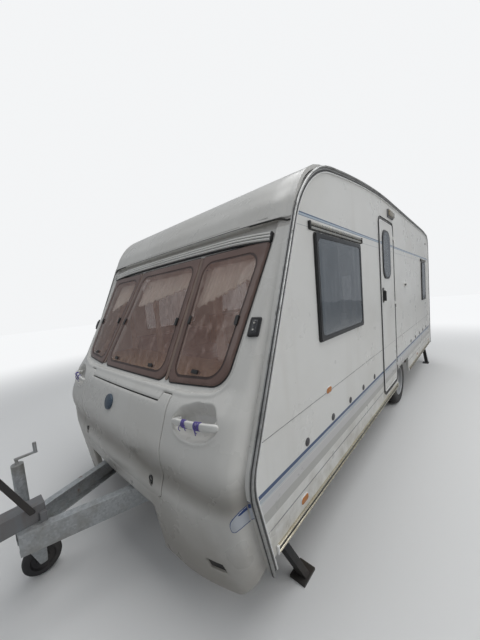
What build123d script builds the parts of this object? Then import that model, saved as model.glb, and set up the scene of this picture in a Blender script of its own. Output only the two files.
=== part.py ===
from build123d import *
import math
import os

# Single-axle travel caravan on its wheels, jockey wheel and four corner legs
# Millimetres, +X forward to the hitch, +Y to the caravan's left (door side), +Z up, ground at z = 0

# Overall body
HALF_WIDTH = 1100.0
ROOF_Z = 2482.0
WALL = 30.0
FLOOR_Z = 500.0
FLOOR_THICK = 40.0
SKIRT_Z = 345.0
HITCH_TIP_X = 3450.0
REAR_TOP_X = -3360.0
REAR_FOOT_X = -3430.0
REAR_BUMPER_X = -3450.0
ROOF_THICK = 35.0
RUNNING = 0.05
TOUCH = 0.3

# Side outline corners, measured from the ground or down from the roof
NOSE_TIP_X = 2268.0
NOSE_TIP_Z = 774.0
NOSE_RADIUS = 294.0
FRONT_FOOT_X = 2158.0
FRONT_FOOT_Z = 300.0
BROW_X = 1612.0
BROW_DROP = 169.0
BROW_RADIUS = 670.0
CREST_X = 426.0
CREST_RADIUS = 11000.0
TAIL_CREST_X = -2750.0
TAIL_CREST_RADIUS = 6000.0
REAR_TOP_DROP = 42.0
REAR_TOP_RADIUS = 220.0
ROOF_FRONT_X = 1220.0
ROOF_REAR_X = -3000.0

# Front panel: levels, stations inward from the side walls, and how far each bulges ahead
PANEL_THICK = 30.0
SHOULDER_INSET = 32.0
CORNER_INSET = 100.0
BOW_INSET = 430.0
WINDOW_TOP_DROP = 634.0
WINDOW_FOOT_Z = 1150.0
SHOULDER_Z = 1044.0
CHEEK_Z = 810.0
VALLEY_Z = 690.0
BUMPER_Z = 610.0
CREASE_RADIUS = 60.0
AHEAD = dict(
    # x ahead of the side outline at the shoulder, corner, bow and middle stations
    roof=(0.0, 0.0, 0.0, 0.0),
    brow=(3.0, 6.0, 10.0, 12.0),
    window_top=(8.0, 14.0, 14.0, 16.0),
    window_foot=(61.0, 84.0, 106.0, 114.0),
    shoulder=(88.0, 121.0, 155.0, 168.0),
    cheek=(85.0, 117.0, 141.0, 157.0),
    valley=(68.0, 93.0, 119.0, 135.0),
    bumper=(81.0, 111.0, 165.0, 181.0),
    foot=(64.0, 104.0, 177.0, 192.0),
)
CHEEK_BACK = 18.0
VALLEY_BACK = 20.0
BUMPER_BACK = 36.0
FOOT_DROP = (0.0, 68.0, 112.0, 112.0, 112.0)

# Awning rails and skirt trims
RAIL_LIP = 6.0
RAIL_WIDTH = 36.0
RAIL_LAP = 2.0
RAIL_PROUD = 20.0
RAIL_TAIL_Z = 280.0
TRIM_HEIGHT = 41.0
TRIM_PROUD = 12.0
TRIM_END = 60.0

# Entrance door in the left wall
DOOR_REAR_X = -484.0
DOOR_WIDTH = 603.0
DOOR_FOOT_Z = 430.0
DOOR_TOP_DROP = 216.0
DOOR_FRAME = 24.0
DOOR_GAP = 6.0
DOOR_PROUD = 4.0
DOOR_RADIUS = 70.0
DOOR_HINGES = 3
DOOR_HINGE_INSET = 160.0
DOOR_PANE_FRONT = 115.0
DOOR_PANE_REAR = 188.0
DOOR_PANE_LOW = 594.0
DOOR_PANE_HIGH = 150.0
DOOR_PANE_RADIUS = 120.0
DOOR_PANE_THICK = 10.0
DOOR_PANE_LAP = 14.0
HANDLE_Z = 1475.0
HANDLE_INSET = 62.0
HANDLE_PLATE = dict(half_width=22.0, half_height=75.0, thick=6.0)
HANDLE_GRIP = dict(half_width=12.0, below=60.0, above=40.0)
HANDLE_PROUD = 34.0
CATCH = dict(reach=16.0, half=60.0, proud=30.0, low=1540.0, high=1580.0)

# Hinges on upright edges
HINGE_SET = 4.0
HINGE_PROUD = 8.0
HINGE_RADIUS = 7.0
HINGE_PIN = 3.5
HINGE_HALF = 34.0
HINGE_FIXED_LEAF = 26.0
HINGE_MOVING_LEAF = 48.0

# Windows
PANE_THICK = 22.0
PANE_LAP = 28.0
SIDE_WINDOW_Z = 1262.0
SIDE_WINDOW_DROP = 564.0
SIDE_WINDOW_RADIUS = 36.0
SIDE_WINDOWS = [
    # wall, rear x, front x, foot z
    ("left", 726.0, 1528.0, SIDE_WINDOW_Z),
    ("left", -2905.0, -2512.0, SIDE_WINDOW_Z),
    ("right", 726.0, 1528.0, SIDE_WINDOW_Z),
    ("right", -450.0, 330.0, SIDE_WINDOW_Z + 90.0),
    ("right", -2905.0, -2512.0, SIDE_WINDOW_Z),
]
MULLION_TOP = 403.0
MULLION_FOOT = 450.0
MULLION_GAP_TOP = 28.0
MULLION_GAP_FOOT = 30.0
OUTER_PANE_TOP = 80.0
OUTER_PANE_FOOT = 145.0
OUTER_PANE_RISE = 42.0
PANE_FOOT_RISE = 12.0
PANE_CORNER = 40.0
MIDDLE_PANE_RADIUS = 60.0
OUTER_PANE_RADIUS = 110.0
REAR_WINDOW = dict(inset=430.0, foot=SIDE_WINDOW_Z, drop=SIDE_WINDOW_DROP, radius=80.0)
ROOFLIGHTS = [
    # middle x, half size, on the level part of the roof
    (-700.0, 230.0),
    (-2300.0, 200.0),
]
ROOFLIGHT_RIM = 30.0
ROOFLIGHT_LID = 50.0
ROOFLIGHT_TAPER = 25.0

# Locker lid in the front panel
LID_INSET = 470.0
LID_FOOT_Z = 560.0
LID_SLOT_Z = 1053.0
LID_TOP_Z = 1092.0
LID_EAR = 85.0
LID_EAR_TAPER = 14.0
LID_GAP = 6.0
LID_FOOT_RADIUS = 50.0
LID_EAR_RADIUS = 8.0
LID_HINGE_AHEAD = 150.0
LID_HINGE_Z = 1098.0
LID_SWEEP = 61.0
KNUCKLE_RADIUS = 9.0
KNUCKLE_PIN = 4.0
KNUCKLE_MIDDLE = 30.0
KNUCKLE_END = 16.0
KNUCKLE_STEP = 24.0
NOTCH_INSET = 150.0

# Grab handles on the front panel: (x ahead of the side outline, y inward from the side wall's inner face)
GRAB_Z = 1014.0
GRAB_HALF = 14.0
GRAB_BAR = [(177.0, 374.0), (137.0, 96.0), (123.0, 96.0), (163.0, 374.0)]
GRAB_POSTS = [
    [(173.0, 374.0), (170.0, 348.0), (128.0, 348.0), (128.0, 374.0)],
    [(139.0, 122.0), (135.0, 96.0), (106.0, 96.0), (106.0, 122.0)],
]

# Wheels and axle
WHEEL_RADIUS = 300.0
TYRE_WIDTH = 176.0
RIM_RADIUS = 178.0
RIM_WALL = 10.0
TYRE_INSET = 46.0
ARCH_CLEAR = 37.0
ARCH_TO_DOOR = 25.0
ARCH_COVER = 45.0
ARCH_RADIUS = 70.0
WHEEL_BOX_CLEAR = 70.0
WHEEL_BOX_WALL = 12.0
WHEEL_BOX_INNER = 45.0
STUB_RADIUS = 22.0
STUB_OVER = 20.0
DRUM_CLEAR = 35.0
HUB_RADIUS = 112.0
HUB_CAP_RADIUS = 45.0
DISC_OUT = 34.0
DISC_THICK = 12.0
RIM_HOLES = 8
RIM_HOLE_RADIUS = 19.0
RIM_HOLE_CIRCLE = 132.0
AXLE_TUBE_RADIUS = 45.0
AXLE_LEAD = 170.0
AXLE_DROP = 52.0
ARM_THICK = 30.0
ARM_CLEAR = 62.0
ARM_HALF = 45.0

# Chassis
CHASSIS_INSET = 480.0
RAIL_FLANGE = 50.0
RAIL_DEPTH = 118.0
RAIL_STEEL = 6.0
FRAME_BEND_X = 1150.0
APEX_X = 2920.0
APEX_Y = 78.0
CHASSIS_REAR_X = -3300.0
JACK_PAD = dict(x=-500.0, half=70.0, thick=8.0)
CROSS_MEMBER_X = (-3240.0, -2000.0, 900.0)
CROSS_MEMBER_HALF = 25.0

# Hitch
BALL_X = 3390.0
BALL_Z = 430.0
BALL_RADIUS = 25.5
SHAFT_RADIUS = 25.0
SHAFT_UP = 45.0
BOOT_RADIUS = 42.0
HOUSING = dict(back=130.0, front=180.0, half=45.0, high=90.0, bore=27.5, foot=72.0)
COUPLING_HALF = 42.0
LEVER_REACH = 330.0
LEVER_THICK = 12.0

# Corner legs
LEG_Y_INSET = 100.0
LEG_REACH = 90.0
LEG_WIDTH = 50.0
LEG_DEPTH = 42.0
LEG_PIVOT_Z = 400.0
LEG_LEAN = 190.0
FRONT_LEG_X = 2050.0
REAR_LEG_X = -3240.0
LEG_FOOT = 120.0
LEG_FOOT_INNER = 60.0
LEG_FOOT_OUTER = 32.0
LEG_FOOT_THICK = 14.0
LEG_PIN_RADIUS = 8.0
LEG_EAR_GAP = 1.0
LEG_EAR_THICK = 5.0
LEG_EAR_HALF = 26.0
LEG_PLATE_THICK = 8.0

# Jockey wheel
JOCKEY_X = 2860.0
JOCKEY_Y = -175.0
JOCKEY_OUTER = 30.0
JOCKEY_INNER = 24.0
JOCKEY_CLEAR = 0.6
JOCKEY_TOP = 260.0
JOCKEY_CAP = 20.0
JOCKEY_LOW_Z = 325.0
JOCKEY_TRAIL = 46.0
JOCKEY_WHEEL_RADIUS = 100.0
JOCKEY_WHEEL_WIDTH = 60.0
JOCKEY_CROWN = 130.0
JOCKEY_AXLE = 7.0
JOCKEY_STEM = 10.0
JOCKEY_UP = 90.0
FORK_HALF = 44.0
FORK_STEEL = 6.0
CLAMP_HALF = 38.0

# Service hatch, vents and heater cowl in the right wall
HATCH = dict(x0=-2230.0, x1=-1850.0, z0=620.0, z1=960.0, radius=30.0)
HATCH_GAP = 5.0
HATCH_DEPTH = 420.0
HATCH_HINGE_INSET = 70.0
VENTS = [
    # rear x, front x, foot z, top z
    (-1010.0, -560.0, 700.0, 880.0),
    (-1010.0, -560.0, 1180.0, 1360.0),
]
VENT_RIM = 20.0
VENT_PROUD = 14.0
COWL = dict(x0=-420.0, x1=-200.0, z0=620.0, z1=800.0, radius=16.0)

# Lamps, reflectors and the rear's fittings
MARKER = dict(z=1426.0, half=44.0, inner=80.0, outer=25.0, back=10.0, front=68.0)
AWNING_LAMP = dict(x0=-500.0, x1=-250.0, drop=132.0, half=43.0, radius=16.0, proud=30.0)
REFLECTORS = [
    # x, z
    (1438.0, 933.0),
    (1824.0, 439.0),
    (-1900.0, 439.0),
    (-3200.0, 439.0),
]
REFLECTOR = dict(half_length=32.0, half_height=16.0, proud=8.0)
REAR_LAMP = dict(top=980.0, height=300.0, outer=60.0, width=130.0, proud=40.0)
REAR_GRAB = dict(top=1120.0, height=40.0, outer=60.0, width=270.0, proud=42.0, post=30.0, stand=28.0)
PLATE = dict(top=700.0, height=120.0, half=260.0, proud=12.0)
BUMPER = dict(height=195.0, bevel=30.0, inset=8.0)

# Inside
PLY = 15.0
BULKHEAD_X = 1950.0
SHELF_REAR_X = 1690.0
SHELF_UP = 4.0
SHELF_CLEAR = dict(side=2.0, corner=13.0, bow=16.0)
SEAT_Z = 880.0
SEAT_DEPTH = 620.0
FRONT_SEAT_X = 620.0
REAR_SEAT_X = (-3300.0, -2330.0)
CUSHION = 120.0
CUSHION_EDGE = 2.0
BACK_THICK = 114.0
BACK_FRONT_X = 1680.0
SEAT_RISE = 380.0
WALL_CLEAR = 6.0
CHEST = dict(length=380.0, inset=40.0, above=60.0)
KITCHEN = dict(x0=-460.0, x1=520.0, depth=480.0, height=860.0)
WARDROBE = dict(behind=454.0, ahead=246.0, depth=500.0, drop=120.0)
WASHROOM_REAR_X = -2300.0
WASHROOM_INNER_Y = -240.0
WASHROOM_CLEAR = 124.0
CURTAIN = dict(back=110.0, thick=30.0, half=50.0, middle=430.0, outer=110.0)

# Places worked out from the sizes above
SPAN = HALF_WIDTH - WALL
BROW_Z = ROOF_Z - BROW_DROP
BROW = (BROW_X, BROW_Z, BROW_RADIUS)
CREST = (CREST_X, ROOF_Z, CREST_RADIUS)
NOSE = (NOSE_TIP_X, NOSE_TIP_Z, NOSE_RADIUS)
TAIL_CREST = (TAIL_CREST_X, ROOF_Z, TAIL_CREST_RADIUS)
REAR_TOP = (REAR_TOP_X, ROOF_Z - REAR_TOP_DROP, REAR_TOP_RADIUS)
FRONT_FOOT = (FRONT_FOOT_X, FRONT_FOOT_Z, 0)
REAR_FOOT = (REAR_FOOT_X, SKIRT_Z, 0)
WINDOW_TOP_Z = ROOF_Z - WINDOW_TOP_DROP
SIDE_WINDOW_TOP_Z = ROOF_Z - SIDE_WINDOW_DROP
DOOR_TOP_Z = ROOF_Z - DOOR_TOP_DROP
DOOR_FRONT_X = DOOR_REAR_X + DOOR_WIDTH
LID_HALF = SPAN - LID_INSET
FLOOR_LOW_Z = FLOOR_Z - FLOOR_THICK
DRUM_RADIUS = FLOOR_LOW_Z - WHEEL_RADIUS - DRUM_CLEAR
RAIL_TOP_Z = FLOOR_LOW_Z
RAIL_LOW_Z = RAIL_TOP_Z - RAIL_DEPTH
RAIL_Y = HALF_WIDTH - CHASSIS_INSET
ARCH_HALF = WHEEL_RADIUS + ARCH_CLEAR
AXLE_X = DOOR_REAR_X - ARCH_TO_DOOR - ARCH_HALF
WHEEL_Y = HALF_WIDTH - TYRE_INSET - TYRE_WIDTH / 2
ARM_Y = WHEEL_Y - TYRE_WIDTH / 2 - ARM_CLEAR
TUBE_X = AXLE_X + AXLE_LEAD
TUBE_Z = RAIL_LOW_Z - AXLE_DROP
BOX_HALF = WHEEL_RADIUS + WHEEL_BOX_CLEAR
BOX_TOP_Z = 2 * WHEEL_RADIUS + WHEEL_BOX_CLEAR
BOX_INNER_Y = WHEEL_Y - TYRE_WIDTH / 2 - WHEEL_BOX_INNER
SHAFT_Z = RAIL_TOP_Z + SHAFT_UP
LEG_Y = HALF_WIDTH - LEG_Y_INSET
LEGS = [
    # name, pivot x, pivot y, direction in which the foot lies from the pivot
    ("front_left", FRONT_LEG_X, LEG_Y, -1),
    ("front_right", FRONT_LEG_X, -LEG_Y, -1),
    ("rear_left", REAR_LEG_X, LEG_Y, 1),
    ("rear_right", REAR_LEG_X, -LEG_Y, 1),
]

PIECES = {}


def add(name, shape):
    PIECES[name] = shape


# Outlines of lines and arcs

def unit(vector):
    length = math.hypot(*vector)
    return (vector[0] / length, vector[1] / length)


def corner(before, at, after, radius):
    """Start, middle and end of the arc that rounds one corner"""
    u = unit((before[0] - at[0], before[1] - at[1]))
    v = unit((after[0] - at[0], after[1] - at[1]))
    half = math.acos(max(-1.0, min(1.0, u[0] * v[0] + u[1] * v[1]))) / 2
    reach = radius / math.tan(half)
    middle = unit((u[0] + v[0], u[1] + v[1]))
    depth = radius / math.sin(half) - radius
    return (
        (at[0] + u[0] * reach, at[1] + u[1] * reach),
        (at[0] + middle[0] * depth, at[1] + middle[1] * depth),
        (at[0] + v[0] * reach, at[1] + v[1] * reach),
    )


def outline(points, place):
    """Closed face through (a, b) or (a, b, radius) points; place turns (a, b) into x, y, z"""
    count = len(points)
    spans = []
    for i, point in enumerate(points):
        at = point[:2]
        if len(point) == 3 and point[2] > 0:
            before = points[i - 1][:2]
            after = points[(i + 1) % count][:2]
            spans.append(corner(before, at, after, point[2]))
        else:
            spans.append((at, None, at))
    edges = []
    for i, (start, middle, end) in enumerate(spans):
        if middle:
            edges.append(Edge.make_three_point_arc(place(*start), place(*middle), place(*end)))
        following = spans[(i + 1) % count][0]
        if math.dist(end, following) > 1e-6:
            edges.append(Edge.make_line(place(*end), place(*following)))
    return Face(Wire(edges))


def side_prism(points, y0, y1):
    """(x, z) outline, thick from y0 to y1"""
    face = outline(points, lambda a, b: (a, y0, b))
    return extrude(face, amount=y1 - y0, dir=(0, 1, 0))


def plan_prism(points, z0, z1):
    """(x, y) outline, thick from z0 to z1"""
    face = outline(points, lambda a, b: (a, b, z0))
    return extrude(face, amount=z1 - z0, dir=(0, 0, 1))


def front_prism(points, x0, x1):
    """(y, z) outline, thick from x0 to x1"""
    face = outline(points, lambda a, b: (x0, a, b))
    return extrude(face, amount=x1 - x0, dir=(1, 0, 0))


def turned(points, centre):
    """(radius, y) outline turned about a crosswise axis through centre"""
    face = outline(points, lambda a, b: (a, b, 0))
    return Pos(*centre) * revolve(face, axis=Axis.Y)


def oblong(a0, a1, b0, b1, radius=0.0):
    return [(a0, b0, radius), (a1, b0, radius), (a1, b1, radius), (a0, b1, radius)]


def block(x0, x1, y0, y1, z0, z1):
    return Pos((x0 + x1) / 2, (y0 + y1) / 2, (z0 + z1) / 2) * Box(x1 - x0, y1 - y0, z1 - z0)


def rod(radius, length, centre, axis):
    turn = {"x": Rot(0, 90, 0), "y": Rot(90, 0, 0), "z": Rot(0, 0, 0)}[axis]
    return Pos(*centre) * turn * Cylinder(radius, length)


def mirrored(shape):
    return mirror(shape, about=Plane.XZ)


def gathered(shapes):
    """One piece of several separate solids"""
    return Compound(children=[solid for shape in shapes for solid in shape.solids()])


def both_sides(shape):
    return gathered([shape, mirrored(shape)])


def inset(points, thick):
    """Open line moved to its right-hand side, which is inward on a line from the rear over the roof
    to the front foot; corners mitred"""
    flat = [point[:2] for point in points]
    normals = []
    for a, b in zip(flat, flat[1:]):
        d = unit((b[0] - a[0], b[1] - a[1]))
        normals.append((d[1], -d[0]))
    moved = []
    for i, point in enumerate(points):
        before = normals[max(i - 1, 0)]
        after = normals[min(i, len(normals) - 1)]
        scale = thick / (1 + before[0] * after[0] + before[1] * after[1])
        shift = ((before[0] + after[0]) * scale, (before[1] + after[1]) * scale)
        turn = before[0] * after[1] - before[1] * after[0]
        radius = point[2] + (thick if turn > 0 else -thick) if point[2] else 0
        moved.append((point[0] + shift[0], point[1] + shift[1], radius))
    return moved


def z_at(a, b, x):
    """z at x on the line through two outline points"""
    return a[1] + (b[1] - a[1]) * (x - a[0]) / (b[0] - a[0])


def x_at(a, b, z):
    """x at z on the line through two outline points"""
    return a[0] + (b[0] - a[0]) * (z - a[1]) / (b[1] - a[1])


def front_x(z):
    """Side outline's x on the sloping window line"""
    return x_at(NOSE, BROW, z)


def rear_x(z):
    """Rear panel's x on its straight part"""
    return x_at(REAR_TOP, REAR_FOOT, z)


def rear_slab(top, height, proud, y0, y1):
    """Slab on the rear panel, its back face following the panel's slope"""
    low = top - height
    points = [(rear_x(top) - TOUCH, top), (rear_x(low) - TOUCH, low), (rear_x(low) - proud, low),
              (rear_x(top) - proud, top)]
    return side_prism(points, y0, y1)


# Side outline and the front panel's lines

ROOF_FRONT = (ROOF_FRONT_X, z_at(BROW, CREST, ROOF_FRONT_X), 0)
ROOF_REAR = (ROOF_REAR_X, z_at(TAIL_CREST, REAR_TOP, ROOF_REAR_X), 0)
SKIRT_FRONT_X = x_at(FRONT_FOOT, NOSE, SKIRT_Z)
SIDE_OUTLINE = [(SKIRT_FRONT_X, SKIRT_Z), NOSE, BROW, CREST, TAIL_CREST, REAR_TOP, REAR_FOOT]
FRONT_LEVELS = [
    # (x, z, radius) of the level, and its row of AHEAD
    (ROOF_FRONT, AHEAD["roof"]),
    (BROW, AHEAD["brow"]),
    ((front_x(WINDOW_TOP_Z), WINDOW_TOP_Z, 0), AHEAD["window_top"]),
    ((front_x(WINDOW_FOOT_Z), WINDOW_FOOT_Z, 0), AHEAD["window_foot"]),
    ((front_x(SHOULDER_Z), SHOULDER_Z, 0), AHEAD["shoulder"]),
    ((NOSE_TIP_X - CHEEK_BACK, CHEEK_Z, CREASE_RADIUS), AHEAD["cheek"]),
    ((NOSE_TIP_X - VALLEY_BACK, VALLEY_Z, 0), AHEAD["valley"]),
    ((NOSE_TIP_X - BUMPER_BACK, BUMPER_Z, CREASE_RADIUS), AHEAD["bumper"]),
    (FRONT_FOOT, AHEAD["foot"]),
]
HALF_STATIONS = [
    # y, and which column of AHEAD applies there, counted from 1; 0 is the side outline itself
    (SPAN, 0),
    (SPAN - SHOULDER_INSET, 1),
    (SPAN - CORNER_INSET, 2),
    (SPAN - BOW_INSET, 3),
]
STATIONS = HALF_STATIONS + [(0.0, 4)] + [(-y, column) for y, column in HALF_STATIONS[::-1]]


def front_line(column):
    line = []
    for (x, z, radius), ahead in FRONT_LEVELS:
        line.append((x + (ahead[column - 1] if column else 0.0), z, radius))
    x, z, radius = line[-1]
    line[-1] = (x, z - FOOT_DROP[column], radius)
    return line


def front_shell(inner, outer):
    """Skin between two offsets inward from the front panel's face"""
    sections = []
    for y, column in STATIONS:
        near = inset(front_line(column), inner)
        far = inset(front_line(column), outer)
        sections.append(outline(near + far[::-1], lambda a, b, y=y: (a, y, b)))
    return loft(sections, ruled=True)


def front_cut(points):
    """(y, z) outline as a cutter through the whole front panel"""
    return front_prism(points, BROW_X - 100, NOSE_TIP_X + 400)


# Walls, roof and rear

def wall_cut(points):
    """(x, z) outline as a cutter through the left wall"""
    return side_prism(points, SPAN - 1, HALF_WIDTH + 1)


def wall(side):
    """Side wall on the left, to be mirrored for the right"""
    shape = side_prism(SIDE_OUTLINE, SPAN, HALF_WIDTH)
    arch_top = 2 * WHEEL_RADIUS - ARCH_COVER
    rear = AXLE_X - ARCH_HALF
    front = AXLE_X + ARCH_HALF
    shape -= wall_cut([(rear, SKIRT_Z - 20), (front, SKIRT_Z - 20), (front, arch_top, ARCH_RADIUS),
                       (rear, arch_top, ARCH_RADIUS)])
    for name, x0, x1, z0 in SIDE_WINDOWS:
        if name == side:
            lap = PANE_LAP
            shape -= wall_cut(oblong(x0 + lap, x1 - lap, z0 + lap, SIDE_WINDOW_TOP_Z - lap,
                                     SIDE_WINDOW_RADIUS - lap))
    return shape


def make_walls():
    left = wall("left") - wall_cut(oblong(DOOR_REAR_X, DOOR_FRONT_X, DOOR_FOOT_Z, DOOR_TOP_Z, DOOR_RADIUS))
    add("side_wall_left", left)
    right = wall("right")
    for x0, x1, z0, z1 in VENTS:
        right -= wall_cut(oblong(x0 + VENT_RIM, x1 - VENT_RIM, z0 + VENT_RIM, z1 - VENT_RIM))
    h = HATCH
    right -= wall_cut(oblong(h["x0"], h["x1"], h["z0"], h["z1"], h["radius"]))
    add("side_wall_right", mirrored(right))


def make_roof():
    line = [ROOF_REAR, TAIL_CREST, CREST, ROOF_FRONT]
    roof = side_prism(line + inset(line, ROOF_THICK)[::-1], -SPAN, SPAN)
    domes = []
    for x, half in ROOFLIGHTS:
        hole = half - ROOFLIGHT_RIM
        roof -= block(x - hole, x + hole, -hole, hole, ROOF_Z - 200, ROOF_Z + 200)
        z0 = ROOF_Z + TOUCH
        z1 = z0 + ROOFLIGHT_RIM
        base = block(x - half, x + half, -half, half, z0, z1)
        top = Pos(x, 0, z1) * Rectangle(2 * half - 20, 2 * half - 20)
        domes.append(base + extrude(top, amount=ROOFLIGHT_LID, taper=ROOFLIGHT_TAPER))
    add("roof_panel", roof)
    add("rooflights", gathered(domes))


def make_rear():
    line = [REAR_FOOT, REAR_TOP, ROOF_REAR]
    shape = side_prism(line + inset(line, ROOF_THICK)[::-1], -SPAN, SPAN)
    w = REAR_WINDOW
    half = SPAN - w["inset"]
    top = ROOF_Z - w["drop"]
    bay = half - PANE_LAP
    hole = oblong(-bay, bay, w["foot"] + PANE_LAP, top - PANE_LAP, w["radius"] - PANE_LAP)
    shape -= front_prism(hole, REAR_FOOT_X - 100, REAR_TOP_X + 200)
    add("rear_panel", shape)
    pane = rear_slab(top, top - w["foot"], PANE_THICK, -half, half)
    pane &= front_prism(oblong(-half, half, w["foot"], top, w["radius"]), REAR_FOOT_X - 200, REAR_TOP_X + 200)
    add("rear_window", pane)
    top = SKIRT_Z + BUMPER["height"]
    bumper = side_prism([(REAR_FOOT_X - TOUCH, SKIRT_Z), (rear_x(top) - TOUCH, top),
                         (REAR_BUMPER_X, top - BUMPER["bevel"]), (REAR_BUMPER_X, SKIRT_Z)],
                        -SPAN + BUMPER["inset"], SPAN - BUMPER["inset"])
    add("rear_bumper", bumper)


# Front panel, its windows and the locker lid

def middle_pane(shrink):
    low = WINDOW_FOOT_Z + PANE_FOOT_RISE + shrink
    top = WINDOW_TOP_Z - shrink
    foot_half = MULLION_FOOT - shrink
    top_half = MULLION_TOP - shrink
    return [(-foot_half, low, PANE_CORNER), (foot_half, low, MIDDLE_PANE_RADIUS),
            (top_half, top, PANE_CORNER), (-top_half, top, PANE_CORNER)]


def outer_pane(shrink):
    low = WINDOW_FOOT_Z + PANE_FOOT_RISE + shrink
    top = WINDOW_TOP_Z - shrink
    return [(MULLION_FOOT + MULLION_GAP_FOOT + shrink, low, PANE_CORNER),
            (SPAN - OUTER_PANE_FOOT - shrink, low + OUTER_PANE_RISE, OUTER_PANE_RADIUS),
            (SPAN - OUTER_PANE_TOP - shrink, top, PANE_CORNER),
            (MULLION_TOP + MULLION_GAP_TOP + shrink, top, PANE_CORNER)]


def lid_outline(gap):
    """(y, z) outline of the locker lid, with an ear at each top corner"""
    half = LID_HALF - gap
    ear = LID_HALF - LID_EAR + gap
    foot = LID_FOOT_Z + gap
    slot = LID_SLOT_Z - gap
    top = LID_TOP_Z - gap
    r = LID_EAR_RADIUS
    return [(-half, foot, LID_FOOT_RADIUS), (half, foot, LID_FOOT_RADIUS), (half, top, r), (ear, top, r),
            (ear - LID_EAR_TAPER, slot), (-ear + LID_EAR_TAPER, slot), (-ear, top, r), (-half, top, r)]


def lid_hinge_parts():
    """Knuckles above each ear: the middle one on the panel, the outer two and the pin on the lid"""
    x = front_x(LID_HINGE_Z) + LID_HINGE_AHEAD
    z = LID_HINGE_Z
    half = KNUCKLE_MIDDLE / 2
    end = KNUCKLE_END / 2
    fixed = []
    moving = []
    for middle in (LID_HALF - LID_EAR / 2, -LID_HALF + LID_EAR / 2):
        knuckle = rod(KNUCKLE_RADIUS, KNUCKLE_MIDDLE, (x, middle, z), "y")
        knuckle += block(x - 30, x, middle - half, middle + half, z - 5, z + KNUCKLE_RADIUS)
        fixed.append(knuckle - rod(KNUCKLE_PIN + RUNNING, KNUCKLE_MIDDLE + 10, (x, middle, z), "y"))
        for y in (middle - KNUCKLE_STEP, middle + KNUCKLE_STEP):
            strap = block(x - 12, x + 8, y - end, y + end, z - 22, z - 2)
            moving.append(rod(KNUCKLE_RADIUS, KNUCKLE_END, (x, y, z), "y") + strap)
        moving.append(rod(KNUCKLE_PIN, 2 * KNUCKLE_STEP + KNUCKLE_END - 2, (x, middle, z), "y"))
    return fixed, moving


def front_grip(shell):
    low = GRAB_Z - GRAB_HALF
    grip = None
    for plan in [GRAB_BAR, *GRAB_POSTS]:
        points = [(front_x(GRAB_Z) + ahead, SPAN - inward) for ahead, inward in plan]
        piece = plan_prism(points, low, GRAB_Z + GRAB_HALF)
        grip = piece if grip is None else grip + piece
    return grip - shell


def make_front():
    """Front panel with its windows and lid; gives back the front grab handles"""
    panel = front_shell(0.0, PANEL_THICK)
    shell = panel
    glass = front_shell(-TOUCH - PANE_THICK, -TOUCH)
    outer_hole = front_cut(outer_pane(PANE_LAP))
    outer = glass & front_cut(outer_pane(0.0))
    middle = glass & front_cut(middle_pane(0.0))
    panel -= front_cut(middle_pane(PANE_LAP))
    panel -= outer_hole + mirrored(outer_hole)
    panel -= front_cut(lid_outline(0.0))
    notch = RAIL_Y - NOTCH_INSET
    panel -= front_cut(oblong(-notch, notch, FRONT_FOOT_Z - 200, FLOOR_LOW_Z + 6))
    fixed, moving = lid_hinge_parts()
    for piece in fixed:
        panel += piece
    add("front_panel", panel)
    add("front_windows", gathered([middle, both_sides(outer)]))
    lid = shell & front_cut(lid_outline(LID_GAP))
    between_ears = 2 * (LID_HALF - LID_EAR - LID_EAR_TAPER + LID_GAP)
    lid -= rod(LID_SWEEP, between_ears, (front_x(LID_HINGE_Z) + LID_HINGE_AHEAD, 0, LID_HINGE_Z), "y")
    for piece in moving:
        lid += piece
    add("locker_lid", lid)
    return both_sides(front_grip(shell))


def make_side_windows():
    panes = []
    for name, x0, x1, z0 in SIDE_WINDOWS:
        pane = side_prism(oblong(x0, x1, z0, SIDE_WINDOW_TOP_Z, SIDE_WINDOW_RADIUS),
                          HALF_WIDTH + TOUCH, HALF_WIDTH + TOUCH + PANE_THICK)
        panes.append(pane if name == "left" else mirrored(pane))
    add("side_windows", gathered(panes))


# Rails and trims along the edges

def make_trims():
    y1 = HALF_WIDTH + RAIL_PROUD
    tail = (x_at(FRONT_FOOT, NOSE, RAIL_TAIL_Z), RAIL_TAIL_Z, 0)
    line = [REAR_FOOT, REAR_TOP, TAIL_CREST, CREST, BROW, NOSE, tail]
    outer = inset(line, -RAIL_LIP)
    strip = side_prism(inset(line, RAIL_WIDTH) + outer[::-1], HALF_WIDTH, y1)
    strip += side_prism(line + outer[::-1], HALF_WIDTH - RAIL_LAP, y1)
    add("awning_rails", both_sides(strip))
    trims = []
    front = SKIRT_FRONT_X - TRIM_END
    rear = REAR_FOOT_X + TRIM_END
    for x0, x1 in ((AXLE_X + ARCH_HALF, front), (rear, AXLE_X - ARCH_HALF)):
        trims.append(block(x0, x1, HALF_WIDTH, HALF_WIDTH + TRIM_PROUD, SKIRT_Z, SKIRT_Z + TRIM_HEIGHT))
    add("skirt_trims", both_sides(gathered(trims)))


# Floor, wheel boxes and chassis

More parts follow.
